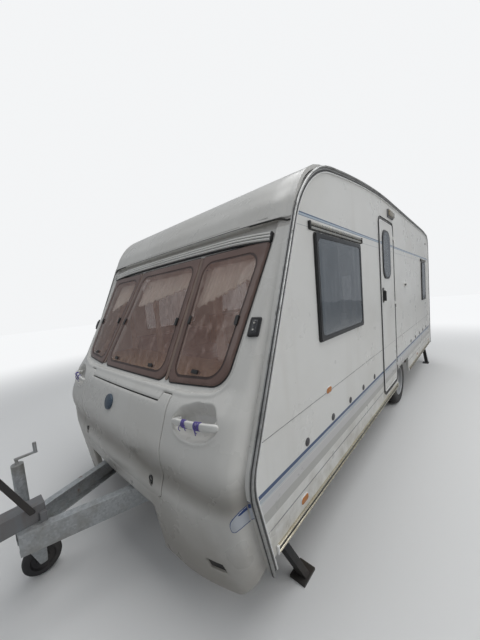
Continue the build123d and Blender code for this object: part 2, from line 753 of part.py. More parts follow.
def make_floor():
    rear = rear_x(FLOOR_LOW_Z) + ROOF_THICK * 1.1
    front = x_at(FRONT_FOOT, NOSE, FLOOR_LOW_Z) - PANEL_THICK * 1.2
    floor = block(rear, front, -SPAN, SPAN, FLOOR_LOW_Z, FLOOR_Z)
    well = block(AXLE_X - BOX_HALF, AXLE_X + BOX_HALF, BOX_INNER_Y, SPAN + 1, FLOOR_LOW_Z - 1, FLOOR_Z + 1)
    floor -= well + mirrored(well)
    add("floor_panel", floor)
    half = BOX_HALF - WHEEL_BOX_WALL
    box = block(AXLE_X - BOX_HALF, AXLE_X + BOX_HALF, BOX_INNER_Y, SPAN, FLOOR_LOW_Z, BOX_TOP_Z)
    box -= block(AXLE_X - half, AXLE_X + half, BOX_INNER_Y + WHEEL_BOX_WALL, SPAN + 1, FLOOR_LOW_Z - 1,
                 BOX_TOP_Z - WHEEL_BOX_WALL)
    add("wheel_boxes", both_sides(box))


def rail_plan(width):
    """(x, y) outline of a left chassis rail, width measured inward from its web"""
    side = width / math.cos(math.atan2(RAIL_Y - APEX_Y, APEX_X - FRAME_BEND_X))
    return [(CHASSIS_REAR_X, RAIL_Y - width), (CHASSIS_REAR_X, RAIL_Y), (FRAME_BEND_X, RAIL_Y),
            (APEX_X, APEX_Y), (APEX_X, APEX_Y - side), (FRAME_BEND_X - width * 0.15, RAIL_Y - width)]


def make_chassis():
    rail = plan_prism(rail_plan(RAIL_STEEL), RAIL_LOW_Z, RAIL_TOP_Z)
    for z0 in (RAIL_LOW_Z, RAIL_TOP_Z - RAIL_STEEL):
        rail += plan_prism(rail_plan(RAIL_FLANGE), z0, z0 + RAIL_STEEL)
    p = JACK_PAD
    rail += block(p["x"] - p["half"], p["x"] + p["half"], RAIL_Y - RAIL_FLANGE, RAIL_Y,
                  RAIL_LOW_Z - p["thick"], RAIL_LOW_Z)
    add("chassis_rail_left", rail)
    add("chassis_rail_right", mirrored(rail))
    reach = RAIL_Y - RAIL_STEEL
    low = RAIL_LOW_Z + RAIL_STEEL
    top = RAIL_TOP_Z - RAIL_STEEL
    bars = []
    for x in CROSS_MEMBER_X:
        bars.append(block(x - CROSS_MEMBER_HALF, x + CROSS_MEMBER_HALF, -reach, reach, low, top))
    add("cross_members", gathered(bars))


def make_axle():
    tube = rod(AXLE_TUBE_RADIUS, 2 * (ARM_Y - ARM_THICK), (TUBE_X, 0, TUBE_Z), "y")
    for y in (RAIL_Y - RAIL_FLANGE / 2, -RAIL_Y + RAIL_FLANGE / 2):
        tube += block(TUBE_X - 70, TUBE_X + 70, y - 6, y + 6, TUBE_Z - 20, RAIL_LOW_Z)
    add("axle_beam", tube)
    arm = side_prism([(TUBE_X + 50, TUBE_Z - 40, 30), (TUBE_X + 50, TUBE_Z + 40, 30),
                      (AXLE_X - ARM_HALF, WHEEL_RADIUS + ARM_HALF, 30),
                      (AXLE_X - ARM_HALF, WHEEL_RADIUS - ARM_HALF, 30)], ARM_Y - ARM_THICK, ARM_Y)
    stub_end = WHEEL_Y + STUB_OVER
    arm += rod(STUB_RADIUS, stub_end - ARM_Y, (AXLE_X, (stub_end + ARM_Y) / 2, WHEEL_RADIUS), "y")
    arm += rod(DRUM_RADIUS, 8, (AXLE_X, ARM_Y + 12, WHEEL_RADIUS), "y")
    arm += rod(35.0, 12, (AXLE_X, ARM_Y + 6, WHEEL_RADIUS), "y")
    add("trailing_arms", both_sides(arm))


def make_wheels():
    half = TYRE_WIDTH / 2
    tread = WHEEL_RADIUS
    centre = (AXLE_X, WHEEL_Y, WHEEL_RADIUS)
    tyre = turned([(RIM_RADIUS, -half + 10, 6), (tread - 40, -half, 20), (tread - 8, -half + 22, 14),
                   (tread, -half + 40), (tread, half - 40), (tread - 8, half - 22, 14),
                   (tread - 40, half, 20), (RIM_RADIUS, half - 10, 6)], centre)
    middle = (0, 0, 0)
    rim = rod(RIM_RADIUS, TYRE_WIDTH - 20, middle, "y") - rod(RIM_RADIUS - RIM_WALL, TYRE_WIDTH, middle, "y")
    rim += rod(RIM_RADIUS - RIM_WALL / 2, DISC_THICK, (0, DISC_OUT, 0), "y")
    rim += rod(HUB_RADIUS, 46, (0, -25, 0), "y") + rod(HUB_CAP_RADIUS, 66, (0, 5, 0), "y")
    rim -= rod(STUB_RADIUS + RUNNING, 120, (0, -40, 0), "y")
    for i in range(RIM_HOLES):
        turn = Rot(0, 360.0 / RIM_HOLES * (i + 0.5), 0)
        rim -= turn * rod(RIM_HOLE_RADIUS, 40, (RIM_HOLE_CIRCLE, DISC_OUT, 0), "y")
    rim = Pos(*centre) * rim
    add("tyre_left", tyre)
    add("wheel_left", rim)
    add("tyre_right", mirrored(tyre))
    add("wheel_right", mirrored(rim))


# Hitch

def make_hitch():
    h = HOUSING
    back = APEX_X - h["back"]
    box = block(back, APEX_X + h["front"], -h["half"], h["half"], RAIL_TOP_Z, RAIL_TOP_Z + h["high"])
    box -= rod(h["bore"], 2 * (h["back"] + h["front"]), (APEX_X, 0, SHAFT_Z), "x")
    box += block(back, back + 30, -h["foot"], h["foot"], RAIL_TOP_Z, RAIL_TOP_Z + 50)
    add("overrun_housing", box)
    boot_x = APEX_X + 230
    boot = rod(BOOT_RADIUS, 96, (boot_x, 0, SHAFT_Z), "x") - rod(SHAFT_RADIUS, 120, (boot_x, 0, SHAFT_Z), "x")
    add("hitch_gaiter", boot)
    top = SHAFT_Z + 34
    low = BALL_Z - 18
    nose = side_prism([(APEX_X + 280, SHAFT_Z - 34, 8), (APEX_X + 280, top, 8), (BALL_X - 30, top, 30),
                       (HITCH_TIP_X, BALL_Z + 52, 26), (HITCH_TIP_X, low, 10), (BALL_X - 55, low, 10)],
                      -COUPLING_HALF, COUPLING_HALF)
    nose += rod(SHAFT_RADIUS, 420, (APEX_X + 110, 0, SHAFT_Z), "x")
    nose -= rod(BALL_RADIUS, 60, (BALL_X, 0, BALL_Z - 20), "z")
    nose -= Pos(BALL_X, 0, BALL_Z + 10) * Sphere(BALL_RADIUS)
    add("coupling_head", nose)
    grip = side_prism([(BALL_X - 95, top), (BALL_X - 60, top), (BALL_X - 5, top + 58),
                       (BALL_X - 22, top + 74), (BALL_X - 75, top + 24)], -16, 16)
    add("coupling_handle", grip)
    lever_z = RAIL_TOP_Z + 60
    lever_top = RAIL_TOP_Z + LEVER_REACH
    lever = side_prism([(APEX_X - 90, lever_z, 8), (APEX_X - 60, lever_z, 8), (APEX_X + 60, lever_top, 8),
                        (APEX_X + 30, lever_top, 8)], h["half"], h["half"] + LEVER_THICK)
    add("handbrake_lever", lever)


# Jockey wheel

def jockey_rod(radius, z0, z1):
    return rod(radius, z1 - z0, (JOCKEY_X, JOCKEY_Y, (z0 + z1) / 2), "z")


def make_jockey():
    top = RAIL_TOP_Z + JOCKEY_TOP
    bore_end = top - JOCKEY_CAP
    outer = jockey_rod(JOCKEY_OUTER, JOCKEY_LOW_Z, top)
    outer -= jockey_rod(JOCKEY_INNER + JOCKEY_CLEAR, JOCKEY_LOW_Z, bore_end)
    crank = jockey_rod(8.0, top, top + 36)
    crank += block(JOCKEY_X - 100, JOCKEY_X + 10, JOCKEY_Y - 8, JOCKEY_Y + 8, top + 26, top + 36)
    crank += rod(10.0, 60, (JOCKEY_X - 90, JOCKEY_Y, top + 60), "z")
    y_rail = APEX_Y + (RAIL_Y - APEX_Y) * (APEX_X - JOCKEY_X) / (APEX_X - FRAME_BEND_X)
    clamp = block(JOCKEY_X - CLAMP_HALF, JOCKEY_X + CLAMP_HALF, JOCKEY_Y - CLAMP_HALF, -y_rail,
                  RAIL_LOW_Z + 30, RAIL_TOP_Z - 10)
    clamp -= jockey_rod(JOCKEY_OUTER - 2, RAIL_LOW_Z, RAIL_TOP_Z)
    clamp -= mirrored(plan_prism(rail_plan(RAIL_FLANGE), RAIL_LOW_Z - 1, RAIL_TOP_Z + 1))
    add("jockey_outer_tube", outer + crank + clamp)
    low = JOCKEY_WHEEL_RADIUS + JOCKEY_CROWN
    inner = jockey_rod(JOCKEY_INNER, low, bore_end - JOCKEY_UP - 10)
    inner -= jockey_rod(JOCKEY_STEM + RUNNING, low - 1, low + 59)
    add("jockey_tube", inner)
    wheel_x = JOCKEY_X - JOCKEY_TRAIL
    crown = low - TOUCH
    fork = jockey_rod(JOCKEY_STEM, crown - 0.2, low + 50)
    fork += block(wheel_x - 24, JOCKEY_X + 24, JOCKEY_Y - FORK_HALF, JOCKEY_Y + FORK_HALF, crown - 10, crown)
    foot = JOCKEY_WHEEL_RADIUS - 16
    for y in (JOCKEY_Y - FORK_HALF, JOCKEY_Y + FORK_HALF - FORK_STEEL):
        fork += side_prism([(JOCKEY_X + 20, crown - 10), (wheel_x - 24, crown - 10), (wheel_x - 18, foot, 8),
                            (wheel_x + 18, foot, 8)], y, y + FORK_STEEL)
    centre = (wheel_x, JOCKEY_Y, JOCKEY_WHEEL_RADIUS)
    fork += rod(JOCKEY_AXLE, 2 * FORK_HALF - 4, centre, "y")
    add("jockey_fork", fork)
    half = JOCKEY_WHEEL_WIDTH / 2
    bore = JOCKEY_AXLE + RUNNING
    tread = JOCKEY_WHEEL_RADIUS
    section = [(bore, -half), (30, -half), (34, -half + 16), (tread - 40, -half + 16),
               (tread - 34, -half, 4), (tread - 8, -half, 20), (tread, -half + 22), (tread, half - 22),
               (tread - 8, half, 20), (tread - 34, half, 4), (tread - 40, half - 16), (34, half - 16),
               (30, half), (bore, half)]
    add("jockey_wheel", turned(section, centre))


# Corner legs, leaning along the caravan and splayed outward

def foot_plate(x, y):
    """Plate under a leg, wider on the inner side"""
    outer = LEG_FOOT_OUTER if y > 0 else LEG_FOOT_INNER
    inner = LEG_FOOT_INNER if y > 0 else LEG_FOOT_OUTER
    return block(x - LEG_FOOT / 2, x + LEG_FOOT / 2, y - inner, y + outer, 0, LEG_FOOT_THICK)


def make_legs():
    half = LEG_DEPTH / 2
    splay = math.atan2(LEG_REACH, LEG_PIVOT_Z)
    drop = LEG_PIVOT_Z / math.cos(splay)
    ear = LEG_WIDTH / 2 + LEG_EAR_GAP
    ear_out = ear + LEG_EAR_THICK
    brackets = []
    for name, x, y, way in LEGS:
        side = 1 if y > 0 else -1
        place = Pos(x, y, LEG_PIVOT_Z) * Rot(side * math.degrees(splay), 0, 0)
        lean = way * LEG_LEAN
        bar = side_prism([(-half, half + 4, 8), (half, half + 4, 8), (lean + half, -drop),
                          (lean - half, -drop)], -LEG_WIDTH / 2, LEG_WIDTH / 2)
        bar = place * bar - block(x - 600, x + 600, y - 300, y + 300, -100, LEG_FOOT_THICK / 2)
        leg = bar + foot_plate(x + lean, y + side * LEG_REACH)
        leg -= place * rod(LEG_PIN_RADIUS + RUNNING, 200, (0, 0, 0), "y")
        add("leg_" + name, leg)
        bracket = rod(LEG_PIN_RADIUS, 2 * ear_out, (0, 0, 0), "y")
        for y0, y1 in ((-ear_out, -ear), (ear, ear_out)):
            bracket += block(-LEG_EAR_HALF, LEG_EAR_HALF, y0, y1, LEG_PIN_RADIUS - 30, 90)
        bracket = place * bracket - block(x - 100, x + 100, y - 200, y + 200, FLOOR_LOW_Z, FLOOR_LOW_Z + 200)
        plate = ear + 14
        bracket += block(x - 45, x + 45, y - plate, y + plate, FLOOR_LOW_Z - LEG_PLATE_THICK, FLOOR_LOW_Z)
        brackets.append(bracket)
    add("leg_brackets", gathered(brackets))


# Entrance door

def edge_hinge(x, y, z):
    """Flat hinge on an upright edge: fixed half below with the pin, moving half above"""
    seat = y - HINGE_PROUD
    middle = HINGE_HALF / 2 + 1
    end = HINGE_HALF + 1
    fixed = rod(HINGE_RADIUS, HINGE_HALF, (x, y, z - middle), "z")
    fixed += block(x - HINGE_FIXED_LEAF, x, seat, y, z - end, z - 1)
    fixed += rod(HINGE_PIN, 2 * end, (x, y, z), "z")
    moving = rod(HINGE_RADIUS, HINGE_HALF, (x, y, z + middle), "z")
    moving += block(x, x + HINGE_MOVING_LEAF, seat + HINGE_SET, y + 2, z + 1, z + end)
    moving -= rod(HINGE_PIN + RUNNING, 2 * end + 10, (x, y, z), "z")
    return fixed, moving


def make_door():
    x0 = DOOR_REAR_X + DOOR_FRAME
    x1 = DOOR_FRONT_X - DOOR_FRAME
    z0 = DOOR_FOOT_Z + DOOR_FRAME
    z1 = DOOR_TOP_Z - DOOR_FRAME
    radius = DOOR_RADIUS - DOOR_FRAME
    frame = side_prism(oblong(DOOR_REAR_X, DOOR_FRONT_X, DOOR_FOOT_Z, DOOR_TOP_Z, DOOR_RADIUS), SPAN,
                       HALF_WIDTH)
    frame -= wall_cut(oblong(x0, x1, z0, z1, radius))
    face = HALF_WIDTH + DOOR_PROUD
    g = DOOR_GAP
    leaf = side_prism(oblong(x0 + g, x1 - g, z0 + g, z1 - g, radius - g), SPAN + g, face)
    a0 = x0 + DOOR_PANE_REAR
    a1 = x1 - DOOR_PANE_FRONT
    b0 = DOOR_TOP_Z - DOOR_PANE_LOW
    b1 = DOOR_TOP_Z - DOOR_PANE_HIGH
    bend = min(DOOR_PANE_RADIUS, (a1 - a0) / 2 - 5)
    leaf -= side_prism(oblong(a0, a1, b0, b1, bend), SPAN - 1, face + 1)
    for i in range(DOOR_HINGES):
        z = z0 + DOOR_HINGE_INSET + i * (z1 - z0 - 2 * DOOR_HINGE_INSET) / (DOOR_HINGES - 1)
        fixed, moving = edge_hinge(DOOR_REAR_X - HINGE_SET, HALF_WIDTH + HINGE_PROUD, z)
        frame += fixed
        leaf += moving
    add("door_frame", frame)
    add("entrance_door", leaf)
    lap = DOOR_PANE_LAP
    pane = side_prism(oblong(a0 - lap, a1 + lap, b0 - lap, b1 + lap, bend + lap), face + TOUCH,
                      face + TOUCH + DOOR_PANE_THICK)
    add("door_window", pane)
    hx = x1 - HANDLE_INSET
    p = HANDLE_PLATE
    handle = block(hx - p["half_width"], hx + p["half_width"], face, face + p["thick"],
                   HANDLE_Z - p["half_height"], HANDLE_Z + p["half_height"])
    p = HANDLE_GRIP
    handle += block(hx - p["half_width"], hx + p["half_width"], face, HALF_WIDTH + HANDLE_PROUD,
                    HANDLE_Z - p["below"], HANDLE_Z + p["above"])
    add("door_handle", handle)
    c = CATCH
    middle = DOOR_REAR_X - DOOR_WIDTH - c["reach"]
    face = HALF_WIDTH + c["proud"]
    add("door_catch", block(middle - c["half"], middle + c["half"], HALF_WIDTH, face, c["low"], c["high"]))


# Right-hand hatch, vents and cowl

def make_hatch():
    h = HATCH
    g = HATCH_GAP
    leaf = side_prism(oblong(h["x0"] + g, h["x1"] - g, h["z0"] + g, h["z1"] - g, h["radius"] - g), SPAN + g,
                      HALF_WIDTH + DOOR_PROUD)
    deep = SPAN - HATCH_DEPTH
    box = block(h["x0"] - PLY, h["x1"] + PLY, deep, SPAN, h["z0"] - PLY, h["z1"] + PLY)
    box -= block(h["x0"], h["x1"], deep + PLY, SPAN + 1, h["z0"], h["z1"])
    rim = [box]
    for z in (h["z0"] + HATCH_HINGE_INSET, h["z1"] - HATCH_HINGE_INSET):
        fixed, moving = edge_hinge(h["x0"] - HINGE_SET, HALF_WIDTH + HINGE_PROUD, z)
        rim.append(fixed)
        leaf += moving
    add("service_hatch", mirrored(leaf))
    add("hatch_box", mirrored(gathered(rim)))
    covers = []
    for x0, x1, z0, z1 in VENTS:
        covers.append(block(x0, x1, HALF_WIDTH, HALF_WIDTH + VENT_PROUD, z0, z1))
    c = COWL
    covers.append(side_prism(oblong(c["x0"], c["x1"], c["z0"], c["z1"], c["radius"]), HALF_WIDTH,
                             HALF_WIDTH + HANDLE_PROUD))
    add("side_vents", mirrored(gathered(covers)))


# Lamps, handles and reflectors

def make_fittings(front_handles):
    m = MARKER
    x = front_x(m["z"])
    lamp = block(x - m["back"], x + m["front"], SPAN - m["inner"], SPAN - m["outer"], m["z"] - m["half"],
                 m["z"] + m["half"])
    lamp -= front_shell(0.0, 200.0)
    ahead = max(lamp.solids(), key=lambda solid: solid.center().X)
    add("marker_lamps", both_sides(ahead))
    r = REAR_LAMP
    outer = SPAN - r["outer"]
    add("rear_lamps", both_sides(rear_slab(r["top"], r["height"], r["proud"], outer - r["width"], outer)))
    r = REAR_GRAB
    outer = SPAN - r["outer"]
    inner = outer - r["width"]
    grab = rear_slab(r["top"], r["height"], r["proud"], inner, outer)
    back = rear_x(r["top"])
    grab -= block(back - r["stand"], back + 10, inner + r["post"], outer - r["post"], r["top"] - 60,
                  r["top"] + 20)
    add("grab_handles", gathered([front_handles, both_sides(grab)]))
    r = REFLECTOR
    studs = []
    for x, z in REFLECTORS:
        studs.append(block(x - r["half_length"], x + r["half_length"], HALF_WIDTH, HALF_WIDTH + r["proud"],
                           z - r["half_height"], z + r["half_height"]))
    add("side_reflectors", both_sides(gathered(studs)))
    a = AWNING_LAMP
    z = ROOF_Z - a["drop"]
    lamp = side_prism(oblong(a["x0"], a["x1"], z - a["half"], z + a["half"], a["radius"]), HALF_WIDTH,
                      HALF_WIDTH + a["proud"])
    add("awning_lamp", lamp)
    p = PLATE
    add("number_plate", rear_slab(p["top"], p["height"], p["proud"], -p["half"], p["half"]))


# Inside

def shelf_x(z, column, clear):
    """Front edge of the shelf standing on z, clear of the panel's sloping inner face"""
    share = (WINDOW_FOOT_Z - z) / (WINDOW_FOOT_Z - SHOULDER_Z)
    ahead = 0.0
    if column:
        high = AHEAD["window_foot"][column - 1]
        ahead = high + share * (AHEAD["shoulder"][column - 1] - high)
    lean = (NOSE_TIP_X - BROW_X) / (BROW_Z - NOSE_TIP_Z)
    return front_x(z) + ahead - PANEL_THICK * math.hypot(1, lean) - PLY * lean - clear


def make_locker():
    top = LID_TOP_Z + SHELF_UP
    side_x = shelf_x(top, 0, SHELF_CLEAR["side"])
    corner_x = shelf_x(top, 2, SHELF_CLEAR["corner"])
    bow_x = shelf_x(top, 3, SHELF_CLEAR["bow"])
    half = [(bow_x, SPAN - BOW_INSET), (corner_x, SPAN - CORNER_INSET), (side_x, SPAN), (SHELF_REAR_X, SPAN)]
    shelf = plan_prism(half + [(x, -y) for x, y in half[::-1]], top, top + PLY)
    add("locker_bulkhead", block(BULKHEAD_X, BULKHEAD_X + PLY, -SPAN, SPAN, FLOOR_Z, top) + shelf)
    c = CURTAIN
    x0 = front_x(WINDOW_TOP_Z) - c["back"]
    x1 = x0 + c["thick"]
    z0 = top + PLY + TOUCH
    curtains = []
    for y in (c["middle"], SPAN - c["outer"]):
        curtains.append(block(x0, x1, y - c["half"], y + c["half"], z0, WINDOW_TOP_Z))
    add("front_curtains", both_sides(gathered(curtains)))


def make_seats():
    seats = []
    cushions = []
    inner = SPAN - SEAT_DEPTH
    edge = CUSHION_EDGE
    low = SEAT_Z + TOUCH
    back_y = SPAN - WALL_CLEAR - BACK_THICK
    for x0, x1 in ((FRONT_SEAT_X, BULKHEAD_X - 1), REAR_SEAT_X):
        box = block(x0, x1, inner, SPAN, FLOOR_Z, SEAT_Z)
        box -= block(x0 + PLY, x1 - PLY, inner + PLY, SPAN - PLY, FLOOR_Z - 1, SEAT_Z - PLY)
        seats.append(box)
        cushions.append(block(x0 + edge, x1 - edge, inner, back_y - edge, low, SEAT_Z + CUSHION))
        front = min(x1 - edge, BACK_FRONT_X)
        cushions.append(block(x0 + edge, front, back_y, SPAN - WALL_CLEAR, low, SEAT_Z + SEAT_RISE))
    add("seat_bases", both_sides(gathered(seats)))
    add("seat_cushions", both_sides(gathered(cushions)))


def make_furniture():
    c = CHEST
    front = BULKHEAD_X - 1
    half = SPAN - SEAT_DEPTH - c["inset"]
    chest = block(front - c["length"], front, -half, half, FLOOR_Z, SEAT_Z + c["above"])
    k = KITCHEN
    kitchen = block(k["x0"], k["x1"], -SPAN, -SPAN + k["depth"], FLOOR_Z, FLOOR_Z + k["height"])
    w = WARDROBE
    wardrobe = block(AXLE_X - w["behind"], AXLE_X + w["ahead"], SPAN - w["depth"], SPAN, BOX_TOP_Z,
                     ROOF_Z - w["drop"])
    add("furniture", gathered([chest, kitchen, wardrobe]))
    partitions = []
    for x in (AXLE_X - BOX_HALF - WASHROOM_CLEAR, WASHROOM_REAR_X):
        partitions.append(block(x, x + PLY, -SPAN, WASHROOM_INNER_Y, FLOOR_Z, ROOF_Z - ROOF_THICK - 2))
    add("washroom_walls", gathered(partitions))


make_walls()
make_roof()
make_rear()
front_handles = make_front()
make_side_windows()
make_trims()
make_floor()
make_chassis()
make_axle()
make_wheels()
make_hitch()
make_jockey()
make_legs()
make_door()
make_hatch()
make_fittings(front_handles)
make_locker()
make_seats()
make_furniture()

os.makedirs("parts", exist_ok=True)
for name, shape in PIECES.items():
    export_step(shape, "parts/" + name + ".step")
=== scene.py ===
import math
from collections import Counter

import bmesh
import bpy
import numpy as np
from mathutils import Matrix, Vector


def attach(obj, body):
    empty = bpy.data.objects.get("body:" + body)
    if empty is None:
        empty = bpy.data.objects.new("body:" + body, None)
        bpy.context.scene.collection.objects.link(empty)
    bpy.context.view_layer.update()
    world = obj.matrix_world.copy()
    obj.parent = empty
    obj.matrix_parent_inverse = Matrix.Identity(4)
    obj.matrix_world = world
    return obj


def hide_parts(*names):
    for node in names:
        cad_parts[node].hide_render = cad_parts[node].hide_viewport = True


# Body sizes in metres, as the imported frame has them
HALF_WIDTH = 1.100
WALL = 0.030
SPAN = HALF_WIDTH - WALL
ROOF_Z = 2.482
SKIRT_Z = 0.345

# Corners of the side outline: x, z and rounding radius
NOSE = (2.268, 0.774, 0.294)
FRONT_FOOT = (2.158, 0.300, 0.0)
BROW = (1.612, 2.313, 0.670)
CREST = (0.426, ROOF_Z, 11.0)
TAIL_CREST = (-2.750, ROOF_Z, 6.0)
REAR_TOP = (-3.360, 2.440, 0.220)
REAR_FOOT = (-3.430, SKIRT_Z, 0.0)

SIDES = (1, -1)
UP = np.array((0.0, 0.0, 1.0))
LEFT = np.array((0.0, 1.0, 0.0))
FORWARD = np.array((1.0, 0.0, 0.0))

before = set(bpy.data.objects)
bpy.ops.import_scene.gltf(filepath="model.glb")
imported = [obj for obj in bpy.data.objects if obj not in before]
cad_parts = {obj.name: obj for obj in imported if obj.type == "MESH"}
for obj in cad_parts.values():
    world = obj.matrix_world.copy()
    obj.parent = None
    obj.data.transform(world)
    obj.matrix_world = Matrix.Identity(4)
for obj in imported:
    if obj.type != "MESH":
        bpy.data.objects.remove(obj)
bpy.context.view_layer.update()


# Lines and sections

def unit(v):
    length = math.hypot(v[0], v[1])
    return (v[0] / length, v[1] / length)


def rounded(points, closed=True, steps=8):
    """Dense line through (a, b) or (a, b, radius) corners"""
    line = []
    count = len(points)
    for i, point in enumerate(points):
        radius = point[2] if len(point) == 3 else 0.0
        if radius <= 0 or (not closed and i in (0, count - 1)):
            line.append((point[0], point[1]))
            continue
        at = point[:2]
        before = points[i - 1][:2]
        after = points[(i + 1) % count][:2]
        u = unit((before[0] - at[0], before[1] - at[1]))
        v = unit((after[0] - at[0], after[1] - at[1]))
        half = math.acos(max(-1.0, min(1.0, u[0] * v[0] + u[1] * v[1]))) / 2
        if half > math.pi / 2 - 1e-4:
            line.extend([at] * (steps + 1))
            continue
        reach = radius / math.tan(half)
        middle = unit((u[0] + v[0], u[1] + v[1]))
        centre = (at[0] + middle[0] * radius / math.sin(half), at[1] + middle[1] * radius / math.sin(half))
        start = (at[0] + u[0] * reach - centre[0], at[1] + u[1] * reach - centre[1])
        end = (at[0] + v[0] * reach - centre[0], at[1] + v[1] * reach - centre[1])
        a0 = math.atan2(start[1], start[0])
        turn = math.atan2(end[1], end[0]) - a0
        turn = (turn + math.pi) % (2 * math.pi) - math.pi
        for k in range(steps + 1):
            a = a0 + turn * k / steps
            line.append((centre[0] + radius * math.cos(a), centre[1] + radius * math.sin(a)))
    return line


def oblong(area, by, radius, steps=10):
    """Rounded oblong that lies a distance inside an area of (a from, a to, b from, b to)"""
    a0, a1, b0, b1 = area
    corners = ((a0 + by, b0 + by), (a1 - by, b0 + by), (a1 - by, b1 - by), (a0 + by, b1 - by))
    return rounded([corner + (radius,) for corner in corners], steps=steps)


def turns(count):
    """Even angles round a full turn"""
    return np.linspace(0, 2 * math.pi, count + 1)[:-1]


def circle(across, up, count, power=1.0):
    """Closed section with two half sizes; a power under 1 makes it squarer"""
    section = []
    for a in turns(count):
        c, s = math.cos(a), math.sin(a)
        section.append((across * math.copysign(abs(c) ** power, c), up * math.copysign(abs(s) ** power, s)))
    return section


def spread(*spans):
    """Values through (start, end, step) spans, without doubles"""
    values = []
    for start, end, step in spans:
        count = max(1, int(round(abs(end - start) / step)))
        values.extend(start + (end - start) * k / count for k in range(count + 1))
    clean = [values[0]]
    for v in values[1:]:
        if abs(v - clean[-1]) > 1e-5:
            clean.append(v)
    return clean


def symmetric(half):
    return [-v for v in half[::-1]] + [v for v in half if v > 1e-9]


def smoothstep(t):
    t = np.clip(t, 0, 1)
    return t * t * (3 - 2 * t)


# Vertex and face lists

def strip_faces(rows, count, close_rows, flip=False):
    """Quads between rows of count vertices each"""
    faces = []
    for i in range(rows if close_rows else rows - 1):
        j = (i + 1) % rows
        for k in range(count):
            m = (k + 1) % count
            a, b, c, d = i * count + k, i * count + m, j * count + m, j * count + k
            faces.append((a, d, c, b) if flip else (a, b, c, d))
    return faces


def tube(verts, count):
    """Closed skin over rows of count vertices each, with both ends capped"""
    rows = len(verts) // count
    faces = strip_faces(rows, count, False)
    faces.append(tuple(range(count))[::-1])
    faces.append(tuple((rows - 1) * count + k for k in range(count)))
    return verts, faces


def sweep(path, section, closed_path=False):
    """Section of (across, up) points carried along rows of (point, across vector, up vector)"""
    verts = []
    for row in path:
        point, across, up = (np.array(v, float) for v in row)
        verts.extend(point + across * s + up * t for s, t in section)
    if closed_path:
        return verts, strip_faces(len(path), len(section), True)
    return tube(verts, len(section))


def lathe(section, centre, axis="y", steps=64):
    """Section of (radius, along) points turned about the x or y axis through centre"""
    verts = []
    for i in range(steps):
        a = 2 * math.pi * i / steps
        c, s = math.cos(a), math.sin(a)
        for r, h in section:
            first, second = (r * c, h) if axis == "y" else (h, r * c)
            verts.append((centre[0] + first, centre[1] + second, centre[2] + r * s))
    return verts, strip_faces(steps, len(section), True, flip=True)


def ring_band(outer, inner, lay, low, high):
    """Flat frame between two outlines of the same length, thick from low to high"""
    n = len(outer)
    verts = [lay(a, b, h) for line in (outer, inner) for h in (low, high) for a, b in line]
    starts = (0, n, 3 * n, 2 * n)
    faces = []
    for i in range(n):
        j = (i + 1) % n
        for this, following in zip(starts, starts[1:] + starts[:1]):
            faces.append((this + i, this + j, following + j, following + i))
    return verts, faces


def frame_band(area, lay, low, high, outer, inner, steps=10):
    """Flat frame whose two outlines are given as (distance inside the area, radius)"""
    return ring_band(oblong(area, *outer, steps), oblong(area, *inner, steps), lay, low, high)


def pillow(area, by, radius, lay, low, edge, crown, steps=10):
    """Closed pane a distance inside an area: rounded edge up to height edge, domed to crown in the middle"""
    a0, a1, b0, b1 = area[0] + by, area[1] - by, area[2] + by, area[3] - by
    half = min(a1 - a0, b1 - b0) / 2
    soft = min(0.004, 0.25 * half)
    dome = crown - edge
    verts = []
    rows = ((0.0, low), (0.0, edge - 0.75 * soft), (0.375 * soft, edge - 0.2 * soft), (soft, edge),
            (min(0.030, 0.45 * half), edge + 0.45 * dome), (min(0.070, 0.75 * half), edge + 0.85 * dome))
    for shrink, height in rows:
        r = min(max(0.004, radius - shrink), 0.96 * (half - shrink))
        line = oblong((a0, a1, b0, b1), shrink, r, steps)
        verts.extend(lay(a, b, height) for a, b in line)
    n = len(line)
    last = len(verts) - n
    faces = [tuple(range(n))[::-1]] + strip_faces(len(rows), n, False)
    faces += [(last + i, last + (i + 1) % n, len(verts)) for i in range(n)]
    verts.append(lay((a0 + a1) / 2, (b0 + b1) / 2, crown))
    return verts, faces


def block(xs, ys, zs, radius, segments=2):
    """Box with rounded edges between two values along each axis"""
    ends = [sorted(pair) for pair in (xs, ys, zs)]
    bm = bmesh.new()
    bmesh.ops.create_cube(bm, size=1.0)
    for v in bm.verts:
        v.co = Vector([pair[0] if part < 0 else pair[1] for pair, part in zip(ends, v.co)])
    bmesh.ops.bevel(bm, geom=bm.edges[:], offset=radius, segments=segments, profile=0.5, affect="EDGES")
    verts = [tuple(v.co) for v in bm.verts]
    bm.verts.index_update()
    faces = [tuple(v.index for v in f.verts) for f in bm.faces]
    bm.free()
    return verts, faces


def join_meshes(parts):
    """One vertex and face list from several"""
    verts = []
    faces = []
    for v, f in parts:
        base = len(verts)
        verts.extend(v)
        faces.extend(tuple(base + i for i in face) for face in f)
    return verts, faces


def mirrored(verts, faces):
    return [(v[0], -v[1], v[2]) for v in verts], [tuple(reversed(f)) for f in faces]


def both(verts, faces):
    """A list and its mirror image on the other side"""
    return join_meshes([(list(verts), list(faces)), mirrored(verts, faces)])


def on_side(side):
    """Lays (x, z, height over the wall) on one side wall"""
    def lay(a, b, h):
        return (a, side * (HALF_WIDTH + h), b)
    return lay


# Objects

def placed(name, data):
    obj = bpy.data.objects.new(name, data)
    bpy.context.scene.collection.objects.link(obj)
    return obj


def mesh_of(name, verts, faces):
    mesh = bpy.data.meshes.new(name)
    mesh.from_pydata([tuple(map(float, v)) for v in verts], [], [tuple(map(int, f)) for f in faces])
    mesh.validate()
    mesh.update()
    return mesh


